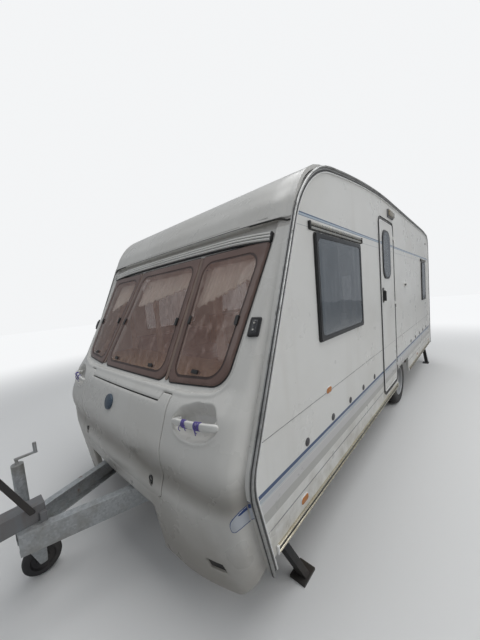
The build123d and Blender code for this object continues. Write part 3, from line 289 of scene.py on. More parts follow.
def make(name, verts, faces, material, body="caravan", slot=None, smooth=40.0, replaces=None):
    """Object that rides on a body; edges sharper than smooth degrees stay crisp"""
    mesh = mesh_of(name, verts, faces)
    mesh.materials.append(material)
    mesh.shade_smooth()
    if smooth < 180:
        mesh.set_sharp_from_angle(angle=math.radians(smooth))
    obj = placed(name, mesh)
    if body:
        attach(obj, body)
    if replaces:
        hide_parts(replaces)
    return obj


def joined(name, parts, material, slot, **looks):
    """One object of several closed parts, all facing outward"""
    obj = make(name, *join_meshes(parts), material, slot=slot, **looks)
    bm = bmesh.new()
    bm.from_mesh(obj.data)
    bmesh.ops.recalc_face_normals(bm, faces=bm.faces[:])
    bm.to_mesh(obj.data)
    bm.free()
    return obj


def add_bevel(obj, width):
    """Rounded edges on a CAD node, shaded by its flat faces"""
    weld = obj.modifiers.new("weld", "WELD")
    weld.merge_threshold = 0.00005
    bevel = obj.modifiers.new("bevel", "BEVEL")
    bevel.width = width
    bevel.segments = 2
    bevel.limit_method = "ANGLE"
    bevel.angle_limit = math.radians(35.0)
    bevel.harden_normals = False
    bevel.use_clamp_overlap = True
    smooth = obj.modifiers.new("normals", "WEIGHTED_NORMAL")
    smooth.keep_sharp = True
    smooth.weight = 80
    obj.data.shade_smooth()


# Materials

class Nodes:
    """Short way to wire a material"""

    def __init__(self, name):
        self.material = bpy.data.materials.new(name)
        self.material.use_nodes = True
        self.tree = self.material.node_tree
        self.tree.nodes.clear()
        out = self.node("OutputMaterial")
        self.shader = self.node("BsdfPrincipled")
        self.tree.links.new(self.shader.outputs[0], out.inputs[0])
        self.place = self.node("TexCoord").outputs["Object"]

    def put(self, node, key, value):
        if hasattr(value, "is_output"):
            self.tree.links.new(value, node.inputs[key])
        else:
            node.inputs[key].default_value = value

    def node(self, kind, **inputs):
        """New node with its inputs set or linked"""
        node = self.tree.nodes.new("ShaderNode" + kind)
        for key, value in inputs.items():
            self.put(node, key.replace("_", " "), value)
        return node

    def stretched(self, scale):
        return self.node("Mapping", Scale=scale, Vector=self.place).outputs[0] if scale else self.place

    def noise(self, scale, detail=4.0, rough=0.55, stretch=None, distortion=0.0):
        return self.node("TexNoise", Scale=scale, Detail=detail, Roughness=rough, Distortion=distortion,
                         Vector=self.stretched(stretch)).outputs["Fac"]

    def voronoi(self, scale, feature="F1", stretch=None, output="Distance"):
        node = self.node("TexVoronoi", Vector=self.stretched(stretch))
        node.feature = feature
        node.inputs["Scale"].default_value = scale
        return node.outputs[output]

    def wave(self, scale, direction):
        node = self.node("TexWave", Scale=scale, Distortion=0.0, Detail=0.0, Vector=self.place)
        node.bands_direction = direction
        return node.outputs["Fac"]

    def axis(self, name):
        return self.node("SeparateXYZ", Vector=self.place).outputs[name]

    def math(self, operation, a, b=0.0, clamp=False):
        node = self.node("Math")
        node.operation = operation
        node.use_clamp = clamp
        self.put(node, 0, a)
        self.put(node, 1, b)
        return node.outputs[0]

    def times(self, a, b):
        return self.math("MULTIPLY", a, b)

    def remap(self, value, low, high, to_low=0.0, to_high=1.0):
        """Soft step of a value from low to high"""
        node = self.node("MapRange")
        node.interpolation_type = "SMOOTHSTEP"
        for key, number in (("Value", value), ("From Min", low), ("From Max", high), ("To Min", to_low),
                            ("To Max", to_high)):
            self.put(node, key, number)
        return node.outputs[0]

    def mix(self, factor, a, b):
        node = self.node("Mix")
        node.data_type = "RGBA"
        self.put(node, 0, factor)
        for key, value in ((6, a), (7, b)):
            self.put(node, key, tuple(value) + (1.0,) if isinstance(value, tuple) else value)
        return node.outputs[2]

    def over(self, colour, tint, mask, amount):
        """Colour with a share of a tint where the mask is"""
        return self.mix(self.times(mask, amount), colour, tint)

    def bump(self, height, strength, distance):
        node = self.node("Bump", Strength=strength, Distance=distance, Height=height)
        self.tree.links.new(node.outputs[0], self.shader.inputs["Normal"])

    def band(self, value, low, high, soft=0.0008):
        """1 between low and high, 0 outside"""
        rise = self.remap(value, low - soft, low + soft)
        fall = self.remap(value, high - soft, high + soft, 1.0, 0.0)
        return self.times(rise, fall)

    def finish(self, **values):
        for key, value in values.items():
            name = key.replace("_", " ").title().replace("Ior", "IOR")
            if isinstance(value, tuple) and len(value) == 3:
                value = value + (1.0,)
            self.put(self.shader, name, value)
        return self.material


DOWNWARD = (1.0, 1.0, 0.08)


def grime(n, base, dirt, amount=0.35, streak=9.0):
    """Base colour with soft clouds of dirt and streaks that run down"""
    clouds = n.remap(n.noise(1.3, 5.0, 0.55), 0.35, 0.80)
    runs = n.remap(n.noise(streak, 4.0, 0.6, stretch=DOWNWARD), 0.42, 0.85)
    specks = n.remap(n.noise(160.0, 2.0, 0.5), 0.66, 0.80)
    dark = n.times(n.math("MAXIMUM", clouds, runs), amount)
    dark = n.math("ADD", dark, n.times(specks, amount * 0.35), clamp=True)
    return n.mix(dark, base, dirt)


def moulding_material(name, front=True):
    """Off-white glass fibre, darker low down from dirt and painted shade; the front has painted shade in its
    valley and under its lip
    """
    n = Nodes(name)
    z = n.axis("Z")
    colour = grime(n, (0.70, 0.69, 0.655), (0.47, 0.445, 0.395), 0.34, 7.0)
    # Darker low down: partly dirt, partly painted shade
    low = n.remap(z, 0.20, 0.86, 0.85, 0.0)
    colour = n.over(colour, (0.33, 0.305, 0.265), low, n.remap(n.noise(2.5, 5.0), 0.1, 0.6))
    if front:
        # Painted shade in the valley below the nose's upper bulge
        valley_shade = n.times(n.remap(z, 0.60, 0.69), n.remap(z, 0.69, 0.86, 1.0, 0.0))
        colour = n.over(colour, (0.22, 0.20, 0.17), valley_shade, 0.72)
        # Painted shade on the recess band under the roof's lip
        under = n.times(n.remap(z, 1.925, 1.935), n.remap(z, 1.972, 1.980, 1.0, 0.0))
        colour = n.over(colour, (0.27, 0.235, 0.20), under, 0.38)
    rough = n.remap(n.noise(3.0, 4.0), 0.3, 0.7, 0.22, 0.40)
    n.bump(n.noise(26.0, 2.0, 0.4), 0.10, 0.0008)
    return n.finish(base_color=colour, roughness=rough, coat_weight=0.25, coat_roughness=0.12)


STRIPES = [
    # low z, high z, colour
    (2.0090, 2.0160, (0.025, 0.080, 0.190)),
    (1.9985, 2.0090, (0.45, 0.53, 0.60)),
    (1.9945, 1.9985, (0.100, 0.160, 0.270)),
    (1.9415, 1.9450, (0.42, 0.43, 0.44)),
    (0.9225, 0.9255, (0.34, 0.34, 0.33)),
    (0.6800, 0.7010, (0.012, 0.055, 0.165)),
    (0.6725, 0.6760, (0.30, 0.34, 0.40)),
    (0.6560, 0.6720, (0.44, 0.49, 0.53)),
    (0.6490, 0.6520, (0.30, 0.32, 0.36)),
    (0.5950, 0.6450, (0.57, 0.56, 0.555)),
    (0.5450, 0.5950, (0.46, 0.455, 0.43)),
    (0.4865, 0.4895, (0.22, 0.22, 0.21)),
]


def wall_material():
    """Painted aluminium sheet with its level stripes; the same over wall, door and hatch"""
    n = Nodes("wall_sheet")
    z = n.axis("Z")
    colour = grime(n, (0.775, 0.77, 0.74), (0.53, 0.50, 0.445), 0.34, 5.0)
    # Darker towards the bottom: partly dirt splashes, partly painted shade
    low = n.remap(z, 0.34, 0.72, 0.65, 0.0)
    splash_and_shade = n.remap(n.noise(7.0, 6.0, 0.65), 0.35, 0.70)
    colour = n.over(colour, (0.40, 0.37, 0.31), low, splash_and_shade)
    for low_z, high_z, tint in STRIPES:
        colour = n.over(colour, tint, n.band(z, low_z, high_z), 0.93)
    n.bump(n.voronoi(220.0, "SMOOTH_F1"), 0.10, 0.0004)
    rough = n.remap(n.noise(4.0, 4.0), 0.3, 0.7, 0.26, 0.42)
    return n.finish(base_color=colour, roughness=rough, coat_weight=0.15, coat_roughness=0.15)


def paint(name, colour, dirt, amount=0.3, roughness=0.35, metallic=0.0, bump=0.12):
    """Paint or moulded plastic with a little dirt"""
    n = Nodes(name)
    body = grime(n, colour, dirt, amount)
    rough = n.remap(n.noise(14.0, 4.0), 0.3, 0.7, roughness * 0.8, roughness * 1.25)
    n.bump(n.noise(90.0, 3.0), bump, 0.0006)
    return n.finish(base_color=body, roughness=rough, metallic=metallic)


def aluminium_material(name, colour, dirt, roughness=0.36, dull=0.45, drawn_along=(0.05, 1.0, 0.6)):
    """Extruded aluminium, drawn lines along it and dull patches"""
    n = Nodes(name)
    drawn = n.noise(60.0, 3.0, 0.6, stretch=drawn_along)
    colour = n.mix(n.remap(drawn, 0.35, 0.65, 0.0, 0.25), colour, dirt)
    spots = n.remap(n.noise(11.0, 6.0, 0.65), 0.48, 0.66)
    colour = n.over(colour, dirt, spots, dull)
    rough = n.remap(spots, 0.0, 1.0, roughness, min(1.0, roughness + 0.25))
    n.bump(drawn, 0.12, 0.0003)
    return n.finish(base_color=colour, roughness=rough, metallic=0.85)


def galvanised_material():
    """Zinc with its spangle, dull clouds and spots of rust"""
    n = Nodes("galvanised")
    spangle = n.node("RGBToBW", Color=n.voronoi(90.0, "F1", output="Color")).outputs[0]
    colour = n.mix(spangle, (0.40, 0.42, 0.43), (0.60, 0.62, 0.63))
    colour = n.over(colour, (0.30, 0.28, 0.25), n.remap(n.noise(4.0, 6.0, 0.65), 0.45, 0.68), 0.6)
    colour = n.over(colour, (0.23, 0.10, 0.045), n.remap(n.noise(13.0, 7.0, 0.7), 0.63, 0.72), 0.7)
    n.bump(n.noise(70.0, 4.0), 0.18, 0.0006)
    return n.finish(base_color=colour, roughness=n.remap(spangle, 0.0, 1.0, 0.38, 0.55), metallic=0.7)


def rubber_material(name="rubber", colour=(0.028, 0.028, 0.030), dust=(0.12, 0.11, 0.10), amount=0.45):
    n = Nodes(name)
    dusty = n.remap(n.noise(9.0, 6.0, 0.62), 0.38, 0.70)
    n.bump(n.noise(240.0, 3.0), 0.25, 0.0004)
    return n.finish(base_color=n.over(colour, dust, dusty, amount),
                    roughness=n.remap(dusty, 0.0, 1.0, 0.55, 0.80))


def wood_material():
    """Foil-faced furniture board, light oak"""
    n = Nodes("oak_board")
    grain = n.noise(26.0, 6.0, 0.62, stretch=(1.0, 1.0, 0.06), distortion=0.6)
    broad = n.noise(4.0, 3.0, 0.5, stretch=(1.0, 1.0, 0.12), distortion=1.4)
    colour = n.mix(n.remap(grain, 0.30, 0.70), (0.50, 0.335, 0.185), (0.36, 0.225, 0.115))
    colour = n.mix(n.remap(broad, 0.45, 0.75, 0.0, 0.45), colour, (0.60, 0.43, 0.27))
    n.bump(grain, 0.10, 0.0004)
    return n.finish(base_color=colour, roughness=n.remap(grain, 0.3, 0.7, 0.34, 0.50))


def ply_material():
    """Bare floor board, worn"""
    n = Nodes("floor_board")
    grain = n.noise(18.0, 6.0, 0.6, stretch=(0.08, 1.0, 1.0), distortion=0.5)
    colour = n.mix(n.remap(grain, 0.3, 0.7), (0.26, 0.20, 0.14), (0.17, 0.125, 0.08))
    colour = n.over(colour, (0.33, 0.29, 0.24), n.remap(n.noise(3.0, 5.0), 0.45, 0.7), 0.3)
    n.bump(grain, 0.15, 0.0005)
    return n.finish(base_color=colour, roughness=0.55)


def fabric_material(name, warp, weft, pattern=None, scale=900.0):
    """Woven cloth with crossing threads and, if given, a soft woven pattern"""
    n = Nodes(name)
    along, down, through = (n.wave(scale, direction) for direction in "XZY")
    threads = n.math("MAXIMUM", n.times(along, down), n.times(through, down))
    colour = n.mix(n.remap(threads, 0.1, 0.9), warp, weft)
    if pattern:
        leaf = n.remap(n.voronoi(13.0, "SMOOTH_F1", stretch=(1.0, 1.0, 1.6)), 0.26, 0.34, 1.0, 0.0)
        fleck = n.remap(n.noise(34.0, 3.0, 0.5, distortion=1.5), 0.54, 0.60)
        colour = n.over(colour, pattern, n.math("MAXIMUM", leaf, fleck), 0.55)
    fade = n.remap(n.noise(2.2, 4.0), 0.40, 0.75)
    colour = n.over(colour, tuple(min(1.0, c * 1.5) for c in warp), fade, 0.22)
    n.bump(threads, 0.35, 0.0004)
    return n.finish(base_color=colour, roughness=0.85, sheen_weight=0.35, sheen_roughness=0.4)


def glass_material(name, colour, dust_colour, alpha):
    """Tinted acrylic with fine run marks and a dusty bloom; part of the light goes straight through"""
    n = Nodes(name)
    dust = n.remap(n.noise(4.0, 6.0, 0.65), 0.40, 0.75)
    runs = n.remap(n.noise(26.0, 4.0, 0.6, stretch=(1.0, 1.0, 0.10)), 0.42, 0.72)
    veil = n.math("MAXIMUM", n.times(dust, 0.45), n.times(runs, 0.75))
    rough = n.math("ADD", n.times(veil, 0.10), 0.04)
    opacity = n.math("ADD", n.times(veil, 0.12), alpha, clamp=True)
    return n.finish(base_color=n.mix(veil, colour, dust_colour), roughness=rough, alpha=opacity, ior=1.60,
                    coat_weight=0.8, coat_roughness=0.03)


def lens_material(name, colour, transmission=0.35):
    """Ribbed lamp lens"""
    n = Nodes(name)
    ribs, rows = n.wave(70.0, "Z"), n.wave(70.0, "Y")
    body = n.mix(n.remap(ribs, 0.2, 0.8, 0.0, 0.35), colour, tuple(c * 0.45 for c in colour))
    n.bump(n.times(ribs, rows), 0.5, 0.0012)
    return n.finish(base_color=body, roughness=0.16, transmission_weight=transmission, coat_weight=0.5)


def skylight_material():
    """Hazy dome of a rooflight"""
    n = Nodes("rooflight_dome")
    haze = n.remap(n.noise(5.0, 6.0, 0.6), 0.35, 0.7)
    n.bump(n.noise(60.0, 2.0), 0.12, 0.0005)
    return n.finish(base_color=n.mix(haze, (0.80, 0.82, 0.80), (0.58, 0.58, 0.52)),
                    roughness=n.remap(haze, 0.0, 1.0, 0.15, 0.45), transmission_weight=0.25)


MOULDING = moulding_material("moulding")
REAR_MOULDING = moulding_material("rear_moulding", front=False)
WALLS = wall_material()
ROOF = paint("roof_sheet", (0.77, 0.765, 0.735), (0.42, 0.41, 0.37), 0.45, 0.42)
RAIL_METAL = aluminium_material("rail_metal", (0.52, 0.52, 0.51), (0.17, 0.165, 0.155), 0.40, 0.50)
BRIGHT_METAL = aluminium_material("bright_metal", (0.66, 0.65, 0.61), (0.30, 0.27, 0.21), 0.26, 0.45)
TRIM_METAL = aluminium_material("trim_metal", (0.72, 0.67, 0.54), (0.30, 0.25, 0.15), 0.24, 0.5)
REAR_METAL = aluminium_material("rear_rail_metal", (0.66, 0.65, 0.61), (0.30, 0.27, 0.21), 0.34, 0.45,
                                (1.0, 0.03, 0.6))
SEAL = rubber_material("seal", (0.020, 0.020, 0.021), (0.10, 0.095, 0.085), 0.5)
RAIL_INSERT = rubber_material("rail_insert", (0.050, 0.050, 0.052), (0.14, 0.135, 0.125), 0.5)
BEAD = paint("rail_bead", (0.86, 0.86, 0.84), (0.58, 0.57, 0.53), 0.28, 0.34)
PLASTIC = paint("white_plastic", (0.79, 0.785, 0.75), (0.52, 0.50, 0.44), 0.30, 0.38)
BLACK = paint("black_plastic", (0.020, 0.020, 0.021), (0.085, 0.082, 0.078), 0.4, 0.38)
STUD_GREY = paint("stud_grey", (0.075, 0.073, 0.078), (0.20, 0.19, 0.175), 0.35, 0.42)
GREY = paint("grey_plastic", (0.17, 0.17, 0.175), (0.30, 0.29, 0.27), 0.35, 0.45)
PINK = paint("acrylic_flange", (0.150, 0.094, 0.078), (0.27, 0.19, 0.165), 0.60, 0.14, bump=0.05)
FRONT_GLASS = glass_material("front_acrylic", (0.40, 0.235, 0.185), (0.66, 0.47, 0.40), 0.27)
SIDE_GLASS = glass_material("side_acrylic", (0.165, 0.190, 0.215), (0.27, 0.29, 0.31), 0.62)
GALVANISED = galvanised_material()
STEEL = paint("black_steel", (0.032, 0.033, 0.035), (0.105, 0.080, 0.060), 0.50, 0.48, 0.2)
CAST = paint("cast_grey", (0.20, 0.21, 0.22), (0.16, 0.09, 0.05), 0.5, 0.5, 0.35)
WHEEL = paint("wheel_silver", (0.55, 0.555, 0.56), (0.20, 0.17, 0.14), 0.45, 0.36, 0.45)
RUBBER = rubber_material()
TYRE = rubber_material("tyre_rubber", (0.030, 0.030, 0.031), (0.13, 0.12, 0.105), 0.55)
WOOD = wood_material()
PLY = ply_material()
UPHOLSTERY = fabric_material("upholstery", (0.30, 0.25, 0.30), (0.40, 0.36, 0.38), (0.17, 0.14, 0.24))
CURTAIN = fabric_material("curtain_cloth", (0.60, 0.50, 0.43), (0.72, 0.64, 0.56), (0.46, 0.30, 0.28))
PELMET = fabric_material("pelmet_cloth", (0.90, 0.85, 0.74), (0.95, 0.92, 0.84))
AMBER = lens_material("amber_lens", (0.80, 0.27, 0.03))
RED = lens_material("red_lens", (0.52, 0.018, 0.016))
CLEAR = lens_material("clear_lens", (0.78, 0.76, 0.70), 0.5)
SMOKED_LENS = lens_material("smoked_lens", (0.085, 0.085, 0.090), 0.35)
OLD_LENS = lens_material("yellowed_lens", (0.46, 0.40, 0.29), 0.3)
DOME = skylight_material()
YELLOW = paint("blank_plate", (0.78, 0.62, 0.10), (0.45, 0.38, 0.16), 0.25, 0.35)
BLUE = paint("blue_vinyl", (0.020, 0.055, 0.20), (0.06, 0.09, 0.18), 0.3, 0.35)
INSIDE_SKIN = paint("inside_skin", (0.56, 0.53, 0.47), (0.40, 0.36, 0.30), 0.25, 0.6)
MULLION = paint("pane_strip", (0.24, 0.17, 0.135), (0.16, 0.12, 0.10), 0.5, 0.35)
GROOVE = paint("pane_groove", (0.055, 0.032, 0.028), (0.12, 0.085, 0.07), 0.4, 0.35)
SMOKE = paint("pane_border", (0.030, 0.031, 0.033), (0.075, 0.073, 0.07), 0.35, 0.14, bump=0.04)
GREY_FRAME = paint("door_pane_border", (0.045, 0.045, 0.048), (0.13, 0.125, 0.12), 0.35, 0.32)
# Grey aluminium darkened for the door frame's edge rings: partly the metal, partly painted shade along the
# frame
FRAME_EDGE_SHADE = aluminium_material("door_frame_edge", (0.15, 0.15, 0.155), (0.07, 0.068, 0.062), 0.45, 0.55,
                                (1.0, 1.0, 0.05))
BADGE = paint("plain_disc", (0.055, 0.085, 0.125), (0.20, 0.21, 0.22), 0.4, 0.28)
TWINE = fabric_material("twine", (0.10, 0.075, 0.30), (0.20, 0.16, 0.44), scale=1400.0)
PIPING = fabric_material("piping", (0.17, 0.14, 0.22), (0.24, 0.20, 0.30), scale=1600.0)
RED_PLASTIC = paint("red_plastic", (0.42, 0.025, 0.02), (0.20, 0.06, 0.04), 0.35, 0.4)
LIGHT_BLUE = paint("light_vinyl", (0.52, 0.545, 0.585), (0.42, 0.43, 0.45), 0.3, 0.38)


# Front panel surface: its levels from the roof down, and how far each stands ahead of the side outline

STATION_Y = np.array([0.0, 0.640, 0.970, 1.038, 1.070])
LEVELS = [
    # x and z on the side outline, rounding radius, ahead at each station
    (1.220, 2.3689, 0.0, (0.0, 0.0, 0.0, 0.0, 0.0)),
    (1.612, 2.3130, 0.67, (0.012, 0.010, 0.006, 0.003, 0.0)),
    (1.8102, 1.8480, 1.2, (0.016, 0.014, 0.014, 0.008, 0.0)),
    (2.1077, 1.1500, 0.30, (0.114, 0.106, 0.084, 0.061, 0.0)),
    (2.1529, 1.0440, 0.22, (0.168, 0.155, 0.121, 0.088, 0.0)),
    (2.2500, 0.8100, 0.25, (0.157, 0.141, 0.117, 0.085, 0.0)),
    (2.2480, 0.6900, 0.10, (0.135, 0.119, 0.093, 0.068, 0.0)),
    (2.2320, 0.6100, 0.12, (0.181, 0.165, 0.111, 0.081, 0.0)),
    (2.1580, 0.3000, 0.0, (0.192, 0.177, 0.104, 0.064, 0.0)),
]
FOOT_DROP = (0.112, 0.112, 0.112, 0.068, 0.0)
CORNER_STEPS = 40
RUN_STEPS = 40
LONGEST_REACH = 0.62


def station_line(column):
    """Rounded profile at one station, with the same number of points at each station"""
    points = [np.array((x + ahead[column], z)) for x, z, _, ahead in LEVELS]
    points[-1][1] -= FOOT_DROP[column]
    spans = [(points[0], points[0], points[0], 1.0)]
    for i in range(1, len(points) - 1):
        at = points[i]
        to_before = points[i - 1] - at
        to_after = points[i + 1] - at
        before_length = np.linalg.norm(to_before)
        after_length = np.linalg.norm(to_after)
        u = to_before / before_length
        v = to_after / after_length
        turn = math.pi - math.acos(max(-1.0, min(1.0, float(u @ v))))
        reach = LEVELS[i][2] * math.tan(turn / 2)
        reach = max(0.004, min(reach, LONGEST_REACH * before_length, LONGEST_REACH * after_length))
        spans.append((at + u * reach, at, at + v * reach, math.cos(turn / 2)))
    spans.append((points[-1], points[-1], points[-1], 1.0))
    rows = []
    for i, (start, at, end, weight) in enumerate(spans):
        if i:
            last = spans[i - 1][2]
            rows.extend(last + (start - last) * k / RUN_STEPS for k in range(1, RUN_STEPS))
        if i in (0, len(spans) - 1):
            rows.append(start)
            continue
        for k in range(CORNER_STEPS + 1):
            t = k / CORNER_STEPS
            a, b, c = (1 - t) ** 2, 2 * t * (1 - t) * weight, t * t
            rows.append((a * start + b * at + c * end) / (a + b + c))
    return np.array(rows)


STATION_LINES = np.stack([station_line(column) for column in range(5)])
GUIDE = STATION_LINES[2]


def hermite_across(y):
    """The panel's profile at y, carried smoothly and without overshoot between the five stations"""
    data = STATION_LINES
    h = np.diff(STATION_Y)
    delta = np.diff(data, axis=0) / h[:, None, None]
    slope = np.zeros_like(data)
    for k in range(1, 4):
        a, b = delta[k - 1], delta[k]
        w1 = 2 * h[k] + h[k - 1]
        w2 = h[k] + 2 * h[k - 1]
        same = a * b > 0
        safe_a = np.where(same, a, 1.0)
        safe_b = np.where(same, b, 1.0)
        slope[k] = np.where(same, (w1 + w2) / (w1 / safe_a + w2 / safe_b), 0.0)
    slope[4] = delta[3] * 1.9
    t = min(abs(y), STATION_Y[-1])
    k = int(np.clip(np.searchsorted(STATION_Y, t) - 1, 0, 3))
    s = (t - STATION_Y[k]) / h[k]
    value = (1 + 2 * s) * (1 - s) ** 2 * data[k] + s * (1 - s) ** 2 * h[k] * slope[k]
    value += s * s * (3 - 2 * s) * data[k + 1] + s * s * (s - 1) * h[k] * slope[k + 1]
    return value


class Surface:
    """Grid of the front panel: place, normal and the flat (y, z) of every point"""

    def __init__(self, ys, zs):
        index = np.interp(-np.asarray(zs), -GUIDE[:, 1], np.arange(len(GUIDE)))
        low = np.clip(np.floor(index).astype(int), 0, len(GUIDE) - 2)
        part = (index - low)[:, None]
        columns = []
        for y in ys:
            line = hermite_across(y)
            row = line[low] * (1 - part) + line[low + 1] * part
            columns.append(np.stack([row[:, 0], np.full(len(row), y), row[:, 1]], 1))
        self.points = np.stack(columns, 1)
        down = np.gradient(self.points, axis=0)
        across = np.gradient(self.points, axis=1)
        normal = np.cross(across, -down)
        self.normals = normal / np.linalg.norm(normal, axis=2)[:, :, None]
        self.y = self.points[:, :, 1]
        self.z = self.points[:, :, 2]


def front_place(y, z, offset=0.0):
    """One point of the front panel, and its normal"""
    grid = Surface([y - 0.003, y, y + 0.003], [z + 0.004, z, z - 0.004])
    normal = grid.normals[1, 1]
    return grid.points[1, 1] + normal * offset, normal


def clipped(points, keep):
    """Quads of a grid where keep is positive, cut along its zero line"""
    rows, cols = keep.shape
    verts = []
    index = {}
    faces = []

    def number(key, point):
        if key not in index:
            index[key] = len(verts)
            verts.append(point)
        return index[key]

    def crossing(a, b):
        first, last = min(a, b), max(a, b)
        t = keep[first] / (keep[first] - keep[last])
        t = min(0.999, max(0.001, t))
        return number((first, last), points[first] * (1 - t) + points[last] * t)

    for i in range(rows - 1):
        for j in range(cols - 1):
            ring = [(i, j), (i + 1, j), (i + 1, j + 1), (i, j + 1)]
            inside = [keep[p] > 0 for p in ring]
            if not any(inside):
                continue
            shape = []
            for k in range(4):
                after = (k + 1) % 4
                if inside[k]:
                    shape.append(number(ring[k], points[ring[k]]))
                if inside[k] != inside[after]:
                    shape.append(crossing(ring[k], ring[after]))
            if len(shape) >= 3:
                faces.append(tuple(shape))
    return verts, faces


def front_patch(name, ys, zs, keep, offset, material, slot, thick=0.0, rim=None, smooth=50.0, **looks):
    """Piece of the front surface: keep(y, z) > 0 stays, and offset, a number or a function of y and z, moves
    it along the normal. With thick, the cut edges are turned inward; rim gives their depth apart from it"""
    grid = Surface(ys, zs)
    shift = offset(grid.y, grid.z) if callable(offset) else np.full(grid.y.shape, offset)
    outer = grid.points + grid.normals * shift[:, :, None]
    joint, faces = clipped(np.concatenate([outer, grid.normals], 2), keep(grid.y, grid.z))
    verts = [v[:3] for v in joint]
    depth = thick if rim is None else rim
    inner = {}

    def deep(v):
        if v not in inner:
            inner[v] = len(verts)
            verts.append(joint[v][:3] - joint[v][3:] * depth)
        return inner[v]

    if depth:
        edges = [edge for face in faces for edge in zip(face, face[1:] + face[:1])]
        uses = Counter(tuple(sorted(edge)) for edge in edges)
        back = [tuple(deep(v) for v in reversed(face)) for face in faces] if thick else []
        faces += [(b, a, deep(a), deep(b)) for a, b in edges if uses[min(a, b), max(a, b)] == 1]
        faces += back
    return make(name, verts, faces, material, slot=slot, smooth=smooth, **looks)


def polygon_distance(px, py, outline):
    """Signed distance to a closed outline, positive inside"""
    a = np.array(outline, float)
    b = np.roll(a, -1, axis=0)
    best = np.full(px.shape, 1e9)
    inside = np.zeros(px.shape, bool)
    for (ax, ay), (bx, by) in zip(a, b):
        ex, ey = bx - ax, by - ay
        size = ex * ex + ey * ey
        if size < 1e-14:
            continue
        t = np.clip(((px - ax) * ex + (py - ay) * ey) / size, 0, 1)
        best = np.minimum(best, (px - ax - t * ex) ** 2 + (py - ay - t * ey) ** 2)
        if ey:
            crosses = (ay > py) != (by > py)
            inside ^= crosses & (px < ax + (py - ay) * ex / ey)
    distance = np.sqrt(best)
    return np.where(inside, distance, -distance)


def field_of(points, paired=False, steps=8):
    """Signed distance inside an outline, as a function of y and z; paired adds its mirror image"""
    line = rounded(points, steps=steps)

    def field(y, z):
        distance = polygon_distance(y, z, line)
        return np.maximum(distance, polygon_distance(-y, z, line)) if paired else distance
    return field


# Outlines on the front, as (y, z) or (y, z, radius)

WINDOW_FOOT = 1.136
PANE_TOP_Z = 1.873
MIDDLE_PANE = [(-0.450, WINDOW_FOOT, 0.060), (0.450, WINDOW_FOOT, 0.060), (0.401, PANE_TOP_Z, 0.020),
               (-0.401, PANE_TOP_Z, 0.020)]
OUTER_PANE = [(0.480, WINDOW_FOOT, 0.040), (0.922, 1.162, 0.100), (0.992, PANE_TOP_Z, 0.024),
              (0.429, PANE_TOP_Z, 0.020)]
MIDDLE_CLEAR = [(-0.402, 1.168, 0.070), (0.402, 1.168, 0.070), (0.362, 1.822, 0.070), (-0.362, 1.822, 0.070)]
OUTER_CLEAR = [(0.524, 1.168, 0.060), (0.878, 1.190, 0.100), (0.940, 1.820, 0.080), (0.474, 1.820, 0.070)]
MULLION_SHAPE = [(0.452, 1.140), (0.478, 1.140), (0.427, 1.871), (0.403, 1.871)]
BAND = [(-0.945, 1.146, 0.120), (-0.700, 1.116, 0.300), (0.700, 1.116, 0.300), (0.945, 1.146, 0.120),
        (1.018, 1.990), (-1.018, 1.990)]
GRAB_HOLE = [(0.664, 0.998, 0.022), (0.715, 1.056, 0.090), (0.806, 1.086, 0.120), (0.918, 1.090, 0.050),
             (0.976, 1.002, 0.045), (0.915, 0.946, 0.060), (0.840, 0.928, 0.120), (0.752, 0.930, 0.090),
             (0.690, 0.952, 0.045)]
VENT_SLOT = [(0.833, 0.337, 0.006), (0.929, 0.343, 0.006), (0.946, 0.295, 0.006), (0.853, 0.291, 0.006)]
VENT_SHADE_LINER = [(0.822, 0.350), (0.940, 0.356), (0.957, 0.284), (0.842, 0.280)]
LID = [(-0.600, 0.560, 0.050), (0.600, 0.560, 0.050), (0.600, 1.092, 0.008), (0.515, 1.092, 0.008),
       (0.501, 1.053), (-0.501, 1.053), (-0.515, 1.092, 0.008), (-0.600, 1.092, 0.008)]
NOTCH = [(-0.470, 0.466), (-0.470, 0.050), (0.470, 0.050), (0.470, 0.466)]
KEYHOLE = [(0.479, 0.600, 0.018), (0.515, 0.600, 0.018), (0.515, 0.652, 0.018), (0.479, 0.652, 0.018)]
MARKER = [(0.992, 1.382, 0.008), (1.046, 1.382, 0.008), (1.046, 1.470, 0.008), (0.992, 1.470, 0.008)]
LEAF = [(1.098, 0.700), (1.062, 0.676, 0.080), (1.026, 0.624, 0.060), (1.026, 0.562, 0.010),
        (1.064, 0.592, 0.080), (1.098, 0.622)]
LEAF_BAR = [(1.099, 0.700), (1.064, 0.668, 0.020), (1.040, 0.634, 0.003), (1.066, 0.656, 0.020),
            (1.099, 0.683)]

middle_pane = field_of(MIDDLE_PANE)
outer_pane = field_of(OUTER_PANE, paired=True)
middle_clear = field_of(MIDDLE_CLEAR)
outer_clear = field_of(OUTER_CLEAR, paired=True)
mullion_field = field_of(MULLION_SHAPE, paired=True)
band_field = field_of(BAND)
grab_field = field_of(GRAB_HOLE, paired=True)
vent_field = field_of(VENT_SLOT, paired=True, steps=4)
lid_field = field_of(LID, steps=6)
notch_field = field_of(NOTCH)
key_field = field_of(KEYHOLE, paired=True)
marker_field = field_of(MARKER, paired=True)
leaf_field = field_of(LEAF, paired=True)
leaf_bar_field = field_of(LEAF_BAR, paired=True)


def pane_field(y, z):
    return np.maximum(middle_pane(y, z), outer_pane(y, z))


def clear_field(y, z):
    return np.maximum(middle_clear(y, z), outer_clear(y, z))


# Front moulding, its lining and the locker's lid

LIP_LOW_Z = 1.976
LIP_PROUD = 0.014
BAND_DEPTH = 0.016
GRAB_DEPTH = 0.066
HOLE_LAP = 0.020
EDGE_COVER = 0.0015
MOULDING_RIM = 0.024


